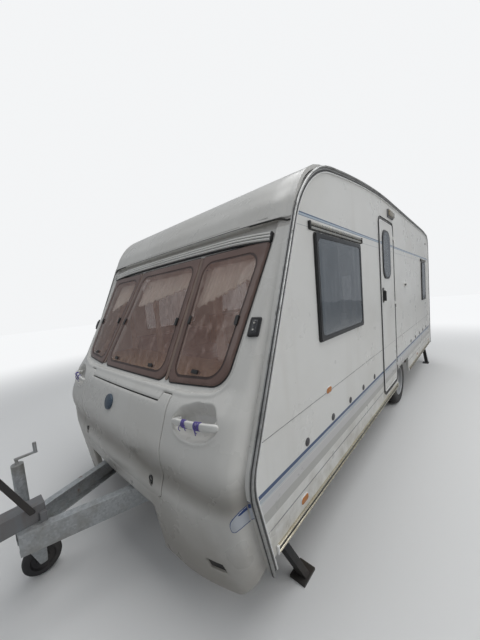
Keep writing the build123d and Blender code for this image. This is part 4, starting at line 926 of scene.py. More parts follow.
def roll(distance, radius):
    """Inward turn of a sheet's edge"""
    t = np.clip(1 - distance / radius, 0, 1)
    return -radius * (1 - np.sqrt(np.maximum(0.0, 1 - t * t)))


def lip_share(y):
    """The roof's lip loses height towards the corners"""
    return 1 - 0.55 * smoothstep((np.abs(y) - 1.03) / 0.04)


def edge_cover(y):
    """Slight rise over the side walls' front edges"""
    return EDGE_COVER * smoothstep((np.abs(y) - 1.062) / 0.010)


def panel_offset(y, z):
    band = band_field(y, z)
    shift = -BAND_DEPTH * smoothstep(band / 0.016 + 0.5)
    shift += 0.004 * np.exp(-((band + 0.015) / 0.009) ** 2) * (z < 1.90)
    lip = smoothstep((z - LIP_LOW_Z) / 0.0012 + 0.5) * (1 - smoothstep((z - 2.06) / 0.11))
    shift = np.where((z > LIP_LOW_Z - 0.0006) & (band > -0.002), 0.0, shift)
    shift += LIP_PROUD * lip * lip_share(y) + edge_cover(y)
    hole = grab_field(y, z)
    shift -= GRAB_DEPTH * smoothstep((hole + 0.003) / 0.044) ** 0.60
    shift += 0.004 * np.exp(-((hole + 0.008) / 0.007) ** 2) * smoothstep((0.99 - z) / 0.03)
    shift += roll(-vent_field(y, z), 0.007)
    shift += roll(np.maximum(-lid_field(y, z), 0.0), 0.006)
    shift += roll(-notch_field(y, z), 0.010)
    crease = np.exp(-((z - 0.742 - 0.02 * np.abs(y)) / 0.006) ** 2) * smoothstep((np.abs(y) - 0.58) / 0.03)
    return shift - 0.0015 * crease


def panel_keep(y, z):
    solid = np.minimum(HOLE_LAP - pane_field(y, z), -lid_field(y, z))
    solid = np.minimum(solid, -vent_field(y, z))
    return np.minimum(solid, -notch_field(y, z))


def lining_keep(y, z):
    return np.minimum(panel_keep(y, z), -grab_field(y, z) - 0.012)


def lid_keep(y, z):
    under_sill = np.where(np.abs(y) < 0.4985, 1.0455 - z, 1.0)
    return np.minimum(lid_field(y, z) - 0.0035, under_sill)


def lid_skin_keep(y, z):
    return np.minimum(lid_keep(y, z), -key_field(y, z))


def lid_shift(y, z):
    return roll(np.maximum(lid_keep(y, z), 0.0), 0.006) + roll(np.maximum(-key_field(y, z), 0.0), 0.004)


def lid_seal_keep(y, z):
    lid = lid_field(y, z)
    return np.minimum(np.minimum(lid + 0.010, 0.016 - lid), 1.060 - z)


def build_front():
    across = symmetric(spread((0.0, 0.44, 0.011), (0.44, 0.65, 0.0075), (0.65, 0.98, 0.0052),
                              (0.98, 1.072, 0.0055), (1.072, 1.0985, 0.0088)))
    upper = spread((2.3689, 2.20, 0.024), (2.20, 2.02, 0.014), (2.02, 1.986, 0.0055), (1.986, 1.970, 0.0008),
                   (1.970, 1.860, 0.008), (1.860, 1.800, 0.006), (1.800, 1.250, 0.020))
    middle = spread((1.250, 1.120, 0.0055), (1.120, 0.905, 0.0046))
    lower = spread((0.905, 0.640, 0.0085), (0.640, 0.350, 0.009), (0.350, 0.280, 0.0065),
                   (0.280, 0.188, 0.010))
    for part, zs, smooth, replaces in (("upper", upper, 32.0, "front_panel"), ("middle", middle, 45.0, None),
                                       ("lower", lower, 45.0, None)):
        front_patch("front_moulding_" + part, across, zs, panel_keep, panel_offset, MOULDING, "body_white",
                    rim=MOULDING_RIM, smooth=smooth, replaces=replaces)
    coarse = symmetric(spread((0.0, 1.0, 0.04), (1.0, 1.062, 0.02)))
    rows = spread((2.36, 1.20, 0.04), (1.20, 0.20, 0.025))
    front_patch("front_lining", coarse, rows, lining_keep, -0.030, INSIDE_SKIN, "body_white")
    lid_ys = symmetric(spread((0.0, 0.46, 0.012), (0.46, 0.61, 0.005)))
    lid_zs = spread((1.10, 1.03, 0.005), (1.03, 0.66, 0.0085), (0.66, 0.55, 0.005))
    front_patch("locker_lid_skin", lid_ys, lid_zs, lid_skin_keep, lid_shift, MOULDING, "body_white",
                thick=0.012, body="locker_lid", replaces="locker_lid")
    front_patch("locker_seal", lid_ys, lid_zs, lid_seal_keep, -0.0155, SEAL, "black_steel", thick=0.008)


# Front windows

GROOVE_HALF = 0.0060
FLANGE_THICK = 0.012


def pane_shift(y, z):
    pillow_rise = 0.006 * smoothstep(clear_field(y, z) / 0.10)
    return -0.004 + roll(np.maximum(pane_field(y, z), 0.0), 0.008) + pillow_rise


def groove_shift(y, z):
    return pane_shift(y, z) - 0.0025


def flange_keep(y, z):
    return np.minimum(pane_field(y, z), -clear_field(y, z) - GROOVE_HALF)


def groove_keep(y, z):
    return GROOVE_HALF + 0.0006 - np.abs(clear_field(y, z))


def glass_keep(y, z):
    return clear_field(y, z) - GROOVE_HALF


def pane_seal_keep(y, z):
    pane = pane_field(y, z)
    return np.minimum(pane + 0.0055, 0.008 - pane)


CATCHES = [
    # y, z, half sizes across and up
    (0.258, 1.186, 0.024, 0.010),
    (0.702, 1.200, 0.024, 0.010),
    (0.898, 1.462, 0.010, 0.024),
    (0.512, 1.470, 0.010, 0.024),
    (0.378, 1.460, 0.010, 0.024),
]


def surface_prism(outline, low, high):
    """Solid of a (y, z) outline that stands on the front surface"""
    base = [front_place(y, z) for y, z in outline]
    return tube([p + normal * h for h in (low, high) for p, normal in base], len(base))


def build_front_windows():
    zs = spread((PANE_TOP_Z + 0.004, 1.785, 0.0055), (1.785, 1.285, 0.0125), (1.285, 1.128, 0.0062))
    for name, low, high in (("middle", -0.456, 0.456), ("left", 0.424, 0.996), ("right", -0.996, -0.424)):
        ys = spread((low, high, 0.0085))
        front_patch("window_flange_" + name, ys, zs, flange_keep, pane_shift, PINK, "front_glass",
                    rim=FLANGE_THICK, replaces="front_windows" if name == "middle" else None)
        front_patch("window_groove_" + name, ys, zs, groove_keep, groove_shift, GROOVE, "front_glass")
        front_patch("window_glass_" + name, ys, zs, glass_keep, pane_shift, FRONT_GLASS, "front_glass",
                    thick=0.004, smooth=60.0)
    front_patch("window_mullions", symmetric(spread((0.398, 0.482, 0.006))), spread((1.873, 1.138, 0.012)),
                mullion_field, -0.0085, MULLION, "front_glass", thick=0.004)
    ys = symmetric(spread((0.0, 1.011, 0.0085)))
    zs = spread((1.884, 1.785, 0.0065), (1.785, 1.285, 0.02), (1.285, 1.124, 0.0065))
    front_patch("window_seals", ys, zs, pane_seal_keep, -0.0125, SEAL, "black_steel", thick=0.006)
    catches = []
    for y, z, half_y, half_z in CATCHES:
        for side in SIDES:
            area = (side * y - half_y, side * y + half_y, z - half_z, z + half_z)
            catches.append(surface_prism(oblong(area, 0.0, 0.006, 8), -0.020, 0.0045))
    joined("window_catches", catches, BLACK, "lamp_black")


# Rail, seals and lip over the front windows

RAIL_END = 0.992
CAP_Y = 0.9935


def across_row(y, z, offset=0.0):
    """Point of the front surface, with the direction down the panel and the one out of it"""
    p, normal = front_place(y, z, offset)
    q, _ = front_place(y, z - 0.004, offset)
    return p, (q - p) / np.linalg.norm(q - p), normal


def rail_row(y):
    return across_row(y, 1.901 - 0.010 * (abs(y) / RAIL_END) ** 4)


def build_front_rails():
    path = [rail_row(y) for y in spread((-RAIL_END, RAIL_END, 0.022))]
    white = [(-0.0265, -0.016), (-0.0265, 0.004), (-0.0235, 0.008), (-0.0150, 0.008), (-0.0125, 0.002),
             (-0.0085, 0.002), (-0.0060, 0.0085), (0.0035, 0.0095), (0.0065, 0.003), (0.0105, 0.003),
             (0.0130, 0.0075), (0.0215, 0.0065), (0.0245, 0.001), (0.0245, -0.016)]
    joined("window_hinge_rail", [sweep(path, white)], PLASTIC, "body_white", smooth=28.0)
    dark = [(-0.0122, 0.0015), (-0.0122, 0.0032), (-0.0088, 0.0032), (-0.0088, 0.0015)]
    low = [(s + 0.0190, t) for s, t in dark]
    under = [(0.0250, -0.016), (0.0250, -0.002), (0.0330, -0.004), (0.0330, -0.016)]
    above = [(-0.0330, -0.016), (-0.0330, -0.008), (-0.0270, -0.006), (-0.0270, -0.016)]
    seals = [sweep(path, section) for section in (dark, low, under, above)]
    joined("window_rail_seals", seals, SEAL, "black_steel", smooth=30.0)
    lip = [(-0.0020, -0.0080), (-0.0020, 0.0006), (0.0020, 0.0010), (0.0042, -0.0010), (0.0042, -0.0080)]
    rows = [across_row(y, LIP_LOW_Z - 0.001, LIP_PROUD * lip_share(y) + edge_cover(y))
            for y in spread((-1.096, 1.096, 0.018))]
    joined("front_lip_seal", [sweep(rows, lip)], SEAL, "black_steel", smooth=30.0)
    cap = [(-0.0275, -0.016), (-0.0275, 0.005), (-0.0220, 0.0095), (0.0200, 0.0085), (0.0255, 0.003),
           (0.0255, -0.016)]
    caps = []
    for side in SIDES:
        ys = spread((side * (CAP_Y - 0.003), side * (CAP_Y + 0.004), 0.0035))
        caps.append(sweep([rail_row(y) for y in ys], cap))
    joined("window_rail_caps", caps, BLACK, "lamp_black", smooth=30.0)


# Floor of the front locker

def build_locker_tray():
    """Floor with a turned-up front edge, above the drawbar's rails"""
    tray_x, low, top, lip, thick = 1.9665, 0.5020, 0.5080, 0.0280, 0.0060
    verts = []
    for y in spread((-1.040, 1.040, 0.040)):
        edge = front_place(y, top, -0.042)[0][0]
        verts += [(tray_x, y, low), (edge, y, low), (edge + thick, y, top + lip), (edge, y, top + lip),
                  (edge - thick, y, top), (tray_x, y, top)]
    joined("locker_tray", [tube(verts, 6)], PLY, "floor_ply", smooth=30.0)


# Lamps, grab handles, locks and stripes' ends on the front

def marker_shift(y, z):
    return 0.013 + roll(np.maximum(marker_field(y, z), 0), 0.006)


def marker_lens_keep(y, z):
    return marker_field(y, z) - 0.011


def marker_lens_shift(y, z):
    return 0.0125 + 0.005 * smoothstep(marker_lens_keep(y, z) / 0.012)


def on_front(section, y, z, steps):
    """Section turned about an axis along x through a point of the front surface"""
    return lathe(section, front_place(y, z)[0], "x", steps)


def build_front_fittings():
    ys = symmetric(spread((0.985, 1.052, 0.0035)))
    zs = spread((1.476, 1.376, 0.004))
    front_patch("marker_lamp_bodies", ys, zs, marker_field, marker_shift, BLACK, "lamp_black", rim=0.020,
                replaces="marker_lamps")
    front_patch("marker_lamp_lenses", ys, zs, marker_lens_keep, marker_lens_shift, SMOKED_LENS, "lamp_clear",
                rim=0.004)
    bulb = [(0.0001, -0.004), (0.009, -0.004), (0.009, 0.002), (0.004, 0.006), (0.0001, 0.007)]
    bulbs = [lathe(bulb, front_place(side * 1.018, z, 0.0115)[0], "x", 20)
             for side in SIDES for z in (1.410, 1.440)]
    joined("marker_lamp_bulbs", bulbs, BRIGHT_METAL, "galvanised")
    build_front_grabs()
    # Black liners behind the vent slots: dark sheets that stand in for the shade inside the slots
    liners = [surface_prism([(side * y, z) for y, z in VENT_SHADE_LINER], -0.018, -0.0105) for side in SIDES]
    joined("vent_slot_shade_liners", liners, SEAL, "black_steel")
    screw = [(0.0001, -0.004), (0.0065, -0.004), (0.0065, 0.0012), (0.0045, 0.003), (0.0018, 0.0026),
             (0.0001, 0.0016)]
    joined("front_screws", [on_front(screw, side * 1.074, 0.268, 16) for side in SIDES], BRIGHT_METAL,
           "galvanised")
    build_locks()
    build_swoosh()


GRAB_LOW_Y, GRAB_HIGH_Y = 0.668, 0.970
REAR_BAR_Z = 1.100
TWINE_RING = circle(0.0021, 0.0021, 8)
TWINE_ENDS = [
    # row of the bar, lean, drop
    (8, -0.012, 0.034),
    (10, 0.010, 0.026),
    (15, 0.014, 0.040),
    (17, -0.010, 0.030),
    (16, 0.006, -0.022),
]
TWINE_KNOTS = [
    # row of the bar, loops, slope
    (8, 5, 0.5),
    (9, 2, -2.2),
    (15, 6, -0.4),
    (16, 3, 1.8),
]


def twine_end(start, out, along, lean, drop):
    """Loose end of the twine: leaves the knot and hangs, or stands up where the drop is negative"""
    rows = []
    for t in np.linspace(0, 1, 11):
        spot = start + along * lean * math.sin(2.4 * t) + out * 0.007 * math.sin(math.pi * t)
        rows.append((spot - UP * drop * t, along, out))
    return sweep(rows, TWINE_RING)


def twine_loop(centre, out, along, slope, turn):
    """One turn of the twine round the bar"""
    rows = []
    for a in turns(24):
        spot = centre + UP * 0.0196 * math.cos(a) + out * 0.0122 * math.sin(a)
        spot = spot + along * 0.006 * slope * math.sin(a + turn)
        rows.append((spot, UP * math.cos(a) + out * math.sin(a), along))
    return sweep(rows, TWINE_RING, closed_path=True)


def grab_rows(side):
    """Middle line of a front bar, with its section's two directions and its run at each point"""
    path = []
    for y in spread((GRAB_LOW_Y, GRAB_HIGH_Y, 0.012)):
        t = (y - GRAB_LOW_Y) / (GRAB_HIGH_Y - GRAB_LOW_Y)
        lift = 0.016 * (1 - abs(2 * t - 1) ** 6) - 0.004
        path.append((front_place(side * y, 1.000 + 0.012 * t, lift)[0], t))
    rows = []
    for k, (p, t) in enumerate(path):
        run = path[min(k + 1, len(path) - 1)][0] - path[max(k - 1, 0)][0]
        along = run / np.linalg.norm(run)
        out = np.cross(UP, along) * -side
        out /= np.linalg.norm(out)
        grow = min(0.40 + 0.60 * min(1.0, t / 0.16) ** 0.8, 0.55 + 0.45 * min(1.0, (1 - t) / 0.05) ** 0.5)
        rows.append((p, UP * grow, out * (0.6 + 0.4 * grow), along))
    return rows


def build_front_grabs():
    bars = []
    twines = []
    for side in SIDES:
        rows = grab_rows(side)
        bars.append(sweep([row[:3] for row in rows], circle(0.0172, 0.0098, 24, 0.55)))
        for p, _, out, along in (rows[1], rows[-2]):
            foot = [(p + out * h, UP, along) for h in (-0.050, 0.0)]
            bars.append(sweep(foot, circle(0.011, 0.012, 16)))
        for k, lean, drop in TWINE_ENDS:
            p, _, out, along = rows[k]
            twines.append(twine_end(p + out * 0.012, out, along, lean, drop))
        for k, count, slope in TWINE_KNOTS:
            p, _, out, along = rows[k]
            for turn in range(count):
                twines.append(twine_loop(p + along * (0.0060 * turn), out, along, slope, turn))
    wall_x = rear_x(REAR_BAR_Z)
    for side in SIDES:
        rows = []
        for t in np.arange(25) / 24:
            x = wall_x - 0.034 * min(1.0, 6 * min(t, 1 - t) + 0.25)
            rows.append(((x, side * (0.74 + 0.27 * t), REAR_BAR_Z), UP, -FORWARD))
        bars.append(sweep(rows, circle(0.018, 0.009, 20)))
        for y in (0.755, 0.995):
            post = [((wall_x - 0.012 + out, side * y, REAR_BAR_Z), UP, LEFT) for out in (0.026, -0.014)]
            bars.append(sweep(post, circle(0.015, 0.013, 16)))
    joined("grab_bars", bars, PLASTIC, "body_white", smooth=50.0, replaces="grab_handles")
    joined("grab_twine", twines, TWINE, "upholstery", smooth=80.0)


def tilted(verts, centre, normal):
    """Points drawn about the x axis, laid along a normal at a place"""
    turn = Vector((1, 0, 0)).rotation_difference(Vector(tuple(normal)))
    return [tuple(Vector(tuple(centre)) + turn @ Vector(tuple(v))) for v in verts]


def build_locks():
    rim = [(0.010, -0.006), (0.017, -0.006), (0.0185, 0.001), (0.017, 0.003), (0.012, 0.003), (0.010, 0.000)]
    core = [(0.0001, -0.010), (0.0112, -0.010), (0.0112, -0.002), (0.008, 0.0005), (0.0001, 0.0010)]
    for name, section, material, slot in (("rims", rim, BLACK, "lamp_black"),
                                          ("cores", core, BRIGHT_METAL, "galvanised")):
        locks = [on_front(section, side * 0.497, 0.626, 28) for side in SIDES]
        joined("locker_lock_" + name, locks, material, slot, body="locker_lid")
    disc = [(0.0001, -0.004), (0.050, -0.004), (0.052, 0.004), (0.051, 0.011), (0.047, 0.014),
            (0.044, 0.0125), (0.030, 0.0165), (0.0001, 0.0185)]
    verts, faces = lathe(disc, (0.0, 0.0, 0.0), "x", 48)
    verts = tilted(verts, *front_place(-0.057, 0.951))
    joined("locker_disc", [(verts, faces)], BADGE, "handle_grey", body="locker_lid")


def laid_on_corner(height):
    """Offset of something thin that lies on the front's rounded corner"""
    def shift(y, z):
        return edge_cover(y) + height
    return shift


def leaf_line_keep(y, z):
    leaf = leaf_field(y, z)
    edge = np.minimum(leaf, 0.0026 - leaf)
    return np.maximum(edge, np.minimum(leaf_bar_field(y, z), leaf))


def build_swoosh():
    """End of the side's lower stripes, where they run round the corner onto the front"""
    ys = symmetric(spread((1.016, 1.0982, 0.0026)))
    zs = spread((0.706, 0.560, 0.0026))
    front_patch("swoosh_field", ys, zs, leaf_field, laid_on_corner(0.0006), LIGHT_BLUE, "body_white",
                rim=0.0010)
    front_patch("swoosh_line", ys, zs, leaf_line_keep, laid_on_corner(0.0011), BLUE, "body_white",
                rim=0.0010)


def rear_x(z):
    """Rear panel's straight line"""
    a, b = REAR_TOP, REAR_FOOT
    return a[0] + (b[0] - a[0]) * (z - a[1]) / (b[1] - a[1])


# Rails along the side outline

RAIL_TAIL_Z = 0.280
CLOSEST_POINTS = 0.004
LONGEST_RUN = 0.20
RAIL_SECTIONS = [
    # name, material, slot, CAD node that it replaces, section of (inward from the outline, out from the wall)
    ("channels", RAIL_METAL, "rail_grey", "awning_rails",
     [(-0.0060, -0.0020), (-0.0060, 0.0120), (-0.0040, 0.0170), (0.0005, 0.0195), (0.0050, 0.0170),
      (0.0065, 0.0120), (0.0075, 0.0060), (0.0110, 0.0050), (0.0125, 0.0080), (0.0160, 0.0085),
      (0.0175, 0.0050), (0.0300, 0.0045), (0.0320, 0.0020), (0.0320, 0.0000), (0.0, 0.0)]),
    ("inserts", RAIL_INSERT, "black_steel", None,
     [(0.0170, 0.0040), (0.0175, 0.0062), (0.0280, 0.0062), (0.0285, 0.0040)]),
    ("beads", BEAD, "body_white", None,
     [(0.0290, 0.0030), (0.0290, 0.0090), (0.0310, 0.0110), (0.0345, 0.0105), (0.0360, 0.0070),
      (0.0362, -0.0010), (0.0290, -0.0010)]),
    # Dark strip on the tube's front flank: painted shade of the channel's slot
    ("slot_shades", RAIL_INSERT, "black_steel", None,
     [(-0.0058, 0.0040), (-0.0066, 0.0045), (-0.0066, 0.0120), (-0.0058, 0.0125)]),
]


def outline_path():
    slope = (NOSE[0] - FRONT_FOOT[0]) / (NOSE[1] - FRONT_FOOT[1])
    tail = (FRONT_FOOT[0] + slope * (RAIL_TAIL_Z - FRONT_FOOT[1]), RAIL_TAIL_Z)
    return rounded([REAR_FOOT[:2], REAR_TOP, TAIL_CREST, CREST, BROW, NOSE, tail], closed=False, steps=28)


def rail_line():
    """Side outline without crowded points or long runs"""
    dense = outline_path()
    kept = [dense[0]]
    for p in dense[1:-1]:
        if math.dist(p, kept[-1]) > CLOSEST_POINTS:
            kept.append(p)
    kept.append(dense[-1])
    line = [kept[0]]
    for a, b in zip(kept, kept[1:]):
        count = max(1, math.ceil(math.dist(a, b) / LONGEST_RUN))
        line.extend((a[0] + (b[0] - a[0]) * k / count, a[1] + (b[1] - a[1]) * k / count)
                    for k in range(1, count + 1))
    return line


def inward(line):
    """How far an open line's points move for a line that lies 1 m to its right-hand side"""
    step = np.diff(np.array(line), axis=0)
    length = np.hypot(step[:, 0], step[:, 1])[:, None]
    normal = np.stack([step[:, 1], -step[:, 0]], 1) / np.maximum(length, 1e-9)
    before = np.vstack([normal[:1], normal])
    after = np.vstack([normal, normal[-1:]])
    scale = 1 / (1 + (before * after).sum(1))
    return (before + after) * scale[:, None]


def build_rails():
    line = rail_line()
    path = [((x, HALF_WIDTH, z), (nx, 0.0, nz), LEFT) for (x, z), (nx, nz) in zip(line, inward(line))]
    for name, material, slot, replaces, section in RAIL_SECTIONS:
        joined("awning_rail_" + name, [both(*sweep(path, section))], material, slot, smooth=34.0,
               replaces=replaces)


def build_rear_corners():
    """Corner trims that close the side walls' ends against the rear panel"""
    line = [p for p in rail_line() if p[0] < TAIL_CREST[0]]
    middle_y = (SPAN + HALF_WIDTH) / 2
    rows = [((x, middle_y, z), LEFT, (-nx, 0.0, -nz)) for (x, z), (nx, nz) in zip(line, inward(line))]
    section = [(-0.0175, -0.001), (-0.0175, 0.0014), (-0.0150, 0.0028), (0.0140, 0.0028), (0.0152, 0.0014),
               (0.0152, -0.001)]
    joined("rear_corner_trims", [both(*sweep(rows, section))], BEAD, "body_white", smooth=34.0)


# Trims along the skirt

TRIM_SPANS = ((-0.509, 2.107), (-3.370, -1.183))


def along_x(x0, x1, section, sides=SIDES):
    """Section of (height over the wall, up) carried along the side, on each of the sides named"""
    strip = sweep([((x, HALF_WIDTH, 0.0), LEFT, UP) for x in spread((x0, x1, 0.5))], section)
    return join_meshes([strip if side > 0 else mirrored(*strip) for side in sides])


def build_skirt():
    channel = [(0.0, 0.345), (0.0, 0.386), (0.009, 0.386), (0.0118, 0.3835), (0.0118, 0.3785),
               (0.0090, 0.3760), (0.0045, 0.3750), (0.0045, 0.3560), (0.0090, 0.3550), (0.0118, 0.3525),
               (0.0118, 0.3475), (0.0090, 0.3450)]
    insert = [(0.0040, 0.3555), (0.0040, 0.3755), (0.0062, 0.3750), (0.0072, 0.3655), (0.0062, 0.3560)]
    channels = [along_x(x0 + 0.004, x1 - 0.004, channel) for x0, x1 in TRIM_SPANS]
    inserts = [along_x(x0 + 0.006, x1 - 0.006, insert) for x0, x1 in TRIM_SPANS]
    ends = [both(*block((x, x + way * 0.014), (1.0995, 1.1119), (0.3440, 0.3870), 0.003))
            for span in TRIM_SPANS for x, way in zip(span, (1, -1))]
    joined("skirt_channels", channels, TRIM_METAL, "trim_gold", smooth=30.0, replaces="skirt_trims")
    joined("skirt_inserts", inserts, SEAL, "black_steel", smooth=30.0)
    joined("skirt_ends", ends, BEAD, "body_white", smooth=30.0)


# Side windows and rear window

SIDE_WINDOWS = [
    # side, rear x, front x, foot z, top z
    (1, 0.726, 1.528, 1.262, 1.918),
    (1, -2.905, -2.512, 1.262, 1.918),
    (-1, 0.726, 1.528, 1.262, 1.918),
    (-1, -0.450, 0.330, 1.352, 1.918),
    (-1, -2.905, -2.512, 1.262, 1.918),
]
REAR_WINDOW = (-0.640, 0.640, 1.262, 1.918)
SIDE_BORDER = 0.030
REAR_BORDER = 0.036
PANE_LAP = 0.002
WIDE_WINDOW = 0.6
# Sections of (out from the wall, up from the rail's top)
RAIL_PROFILE = [(0.0, -0.040), (0.0080, -0.040), (0.0110, -0.034), (0.0110, -0.028), (0.0050, -0.025),
                (0.0050, -0.019), (0.0125, -0.016), (0.0150, -0.008), (0.0100, 0.0), (0.0, 0.0)]
RAIL_SEAL = [(0.0040, -0.0255), (0.0068, -0.0255), (0.0068, -0.0185), (0.0040, -0.0185)]
RAIL_FOOT_SEAL = [(0.0, -0.047), (0.0060, -0.047), (0.0060, -0.0400), (0.0, -0.0400)]
REAR_RAIL = [(0.0, -0.040), (0.008, -0.040), (0.011, -0.030), (0.006, -0.026), (0.006, -0.020),
             (0.014, -0.014), (0.013, -0.004), (0.004, 0.0), (0.0, 0.0)]


def build_side_windows():
    panes, frames, seals, rails, rail_seals, catches = [], [], [], [], [], []
    for side, x0, x1, z0, z1 in SIDE_WINDOWS:
        lay = on_side(side)
        area = (x0, x1, z0, z1)
        frames.append(frame_band(area, lay, 0.0002, 0.0165, (0.0, 0.022), (SIDE_BORDER, 0.040)))
        frames.append(frame_band(area, lay, 0.0160, 0.0185, (0.003, 0.020), (SIDE_BORDER - 0.004, 0.042)))
        panes.append(pillow(area, SIDE_BORDER - PANE_LAP, 0.040, lay, 0.0120, 0.0170, 0.0205))
        seals.append(frame_band(area, lay, -0.030, 0.0004, (0.028, 0.020), (0.036, 0.020)))
        seals.append(frame_band(area, lay, 0.0002, 0.0055, (-0.005, 0.026), (0.0, 0.022)))
        ends = (x0 - 0.053, x1 + 0.053)
        top = z1 + 0.058
        path = [((x, side * HALF_WIDTH, top), side * LEFT, UP) for x in spread((x0 - 0.048, x1 + 0.048, 0.4))]
        rails.append(sweep(path, RAIL_PROFILE))
        rail_seals += [sweep(path, RAIL_SEAL), sweep(path, RAIL_FOOT_SEAL)]
        for x in ends:
            rail_seals.append(block((x - 0.007, x + 0.007), (side * 1.0995, side * 1.1165),
                                    (top - 0.044, top + 0.002), 0.003))
        count = 2 if x1 - x0 > WIDE_WINDOW else 1
        for k in range(count):
            x = x0 + (x1 - x0) * (k + 0.5) / count
            catches.append(block((x - 0.028, x + 0.028), (side * 1.086, side * 1.110),
                                 (z0 + 0.040, z0 + 0.066), 0.005))
    joined("side_panes", panes, SIDE_GLASS, "side_glass", replaces="side_windows")
    joined("side_pane_frames", frames, SMOKE, "side_glass", smooth=30.0)
    joined("side_window_seals", seals, SEAL, "black_steel", smooth=30.0)
    joined("side_window_rails", rails, BRIGHT_METAL, "trim_gold", smooth=30.0)
    joined("side_rail_seals", rail_seals, SEAL, "black_steel", smooth=30.0)
    joined("side_window_catches", catches, BLACK, "lamp_black", smooth=30.0)


def on_rear(side=1):
    """Lays (distance to one side, z, height over the panel) on the rear panel"""
    def lay(a, b, h):
        return (rear_x(b) - h, side * a, b)
    return lay


def build_rear_window():
    lay = on_rear()
    area = REAR_WINDOW
    frame_part = frame_band(area, lay, 0.0002, 0.0175, (0.0, 0.080), (REAR_BORDER, 0.066))
    joined("rear_pane_frame", [frame_part], SMOKE, "side_glass", smooth=30.0)
    pane = pillow(area, REAR_BORDER - PANE_LAP, 0.066, lay, 0.0120, 0.0165, 0.0205)
    joined("rear_pane", [pane], SIDE_GLASS, "side_glass", replaces="rear_window")
    top = area[3] + 0.052
    lean = (rear_x(1.0) - rear_x(0.0), 0.0, 1.0)
    rows = [((rear_x(0.0), y, 0.0), lean, -FORWARD) for y in spread((area[0] - 0.02, area[1] + 0.02, 0.4))]
    rail = sweep(rows, [(top + up, out) for out, up in REAR_RAIL])
    joined("rear_window_rail", [rail], REAR_METAL, "trim_gold", smooth=30.0)
    seals = [frame_band(area, lay, 0.0002, 0.0060, (-0.006, 0.086), (0.0, 0.080)),
             frame_band(area, lay, -0.036, 0.0004, (0.028, 0.052), (0.036, 0.046))]
    joined("rear_window_seal", seals, SEAL, "black_steel", smooth=30.0)


# Entrance door

DOOR = (-0.454, 0.089, 0.460, 2.236)
DOOR_PANE = (-0.272, -0.020, 1.672, 2.116)
DOOR_BANDS = [
    # name, material, slot, body, area and corner steps
    # and bands as low, high, then outer and inner outline as (distance inside the area, radius)
    ("door_window_frame", GREY_FRAME, "handle_grey", "entrance_door", DOOR_PANE, 14,
     [(0.0035, 0.0095, (-0.030, 0.100), (0.002, 0.118)), (0.0090, 0.0135, (-0.022, 0.098), (0.002, 0.118))]),
    ("door_window_seal", SEAL, "black_steel", "entrance_door", DOOR_PANE, 14,
     [(0.002, 0.0120, (0.002, 0.118), (0.010, 0.110))]),
    ("door_gasket", SEAL, "black_steel", "caravan", DOOR, 10,
     [(-0.020, -0.004, (-0.0055, 0.052), (-0.0010, 0.047))]),
    # Dark edge rings round the door frame: painted shade along its edges
    ("door_frame_edges", FRAME_EDGE_SHADE, "rail_grey", "caravan", DOOR, 10,
     [(0.0, 0.0075, (-0.0305, 0.071), (-0.0260, 0.067)),
      (-0.004, 0.0055, (-0.0095, 0.052), (-0.0060, 0.049))]),
    ("door_edge_trim", BEAD, "rail_grey", "entrance_door", DOOR, 10,
     [(0.003, 0.0062, (0.001, 0.045), (0.011, 0.038))]),
]


def build_door_details():
    lay = on_side(1)
    for name, material, slot, body, area, steps, bands in DOOR_BANDS:
        parts = [frame_band(area, lay, *band, steps) for band in bands]
        joined(name, parts, material, slot, body=body, smooth=30.0)
    lock = lathe([(0.0001, 0.0), (0.012, 0.0), (0.012, 0.004), (0.009, 0.006), (0.0045, 0.006),
                  (0.0035, 0.0045), (0.0001, 0.0045)], (0.033, 1.1095, 1.418), "y", 28)
    joined("door_lock", [lock], BRIGHT_METAL, "galvanised", body="entrance_door")
    paddle = block((0.0235, 0.0425), (1.1140, 1.1285), (1.438, 1.524), 0.006, 3)
    make("door_paddle", *paddle, BLACK, body="entrance_door", slot="lamp_black")


# Studs, joint lines, reflectors and lamps on the sides

HATCH_SPAN = (-2.236, -1.844)
STUD_XS = (1.752, 1.393, 1.069, 0.762, 0.435, -1.42, -1.80, -2.18, -2.56, -2.94)
STUD_Z = 0.733
REFLECTORS = ((1.438, 0.933), (1.824, 0.439), (-1.9, 0.439), (-3.2, 0.439))


def turned(section, side, x, y, z, steps):
    """Section of (radius, outward) points turned about an axis across the caravan, on one side"""
    return lathe([(r, side * h) for r, h in section], (x, side * y, z), "y", steps)


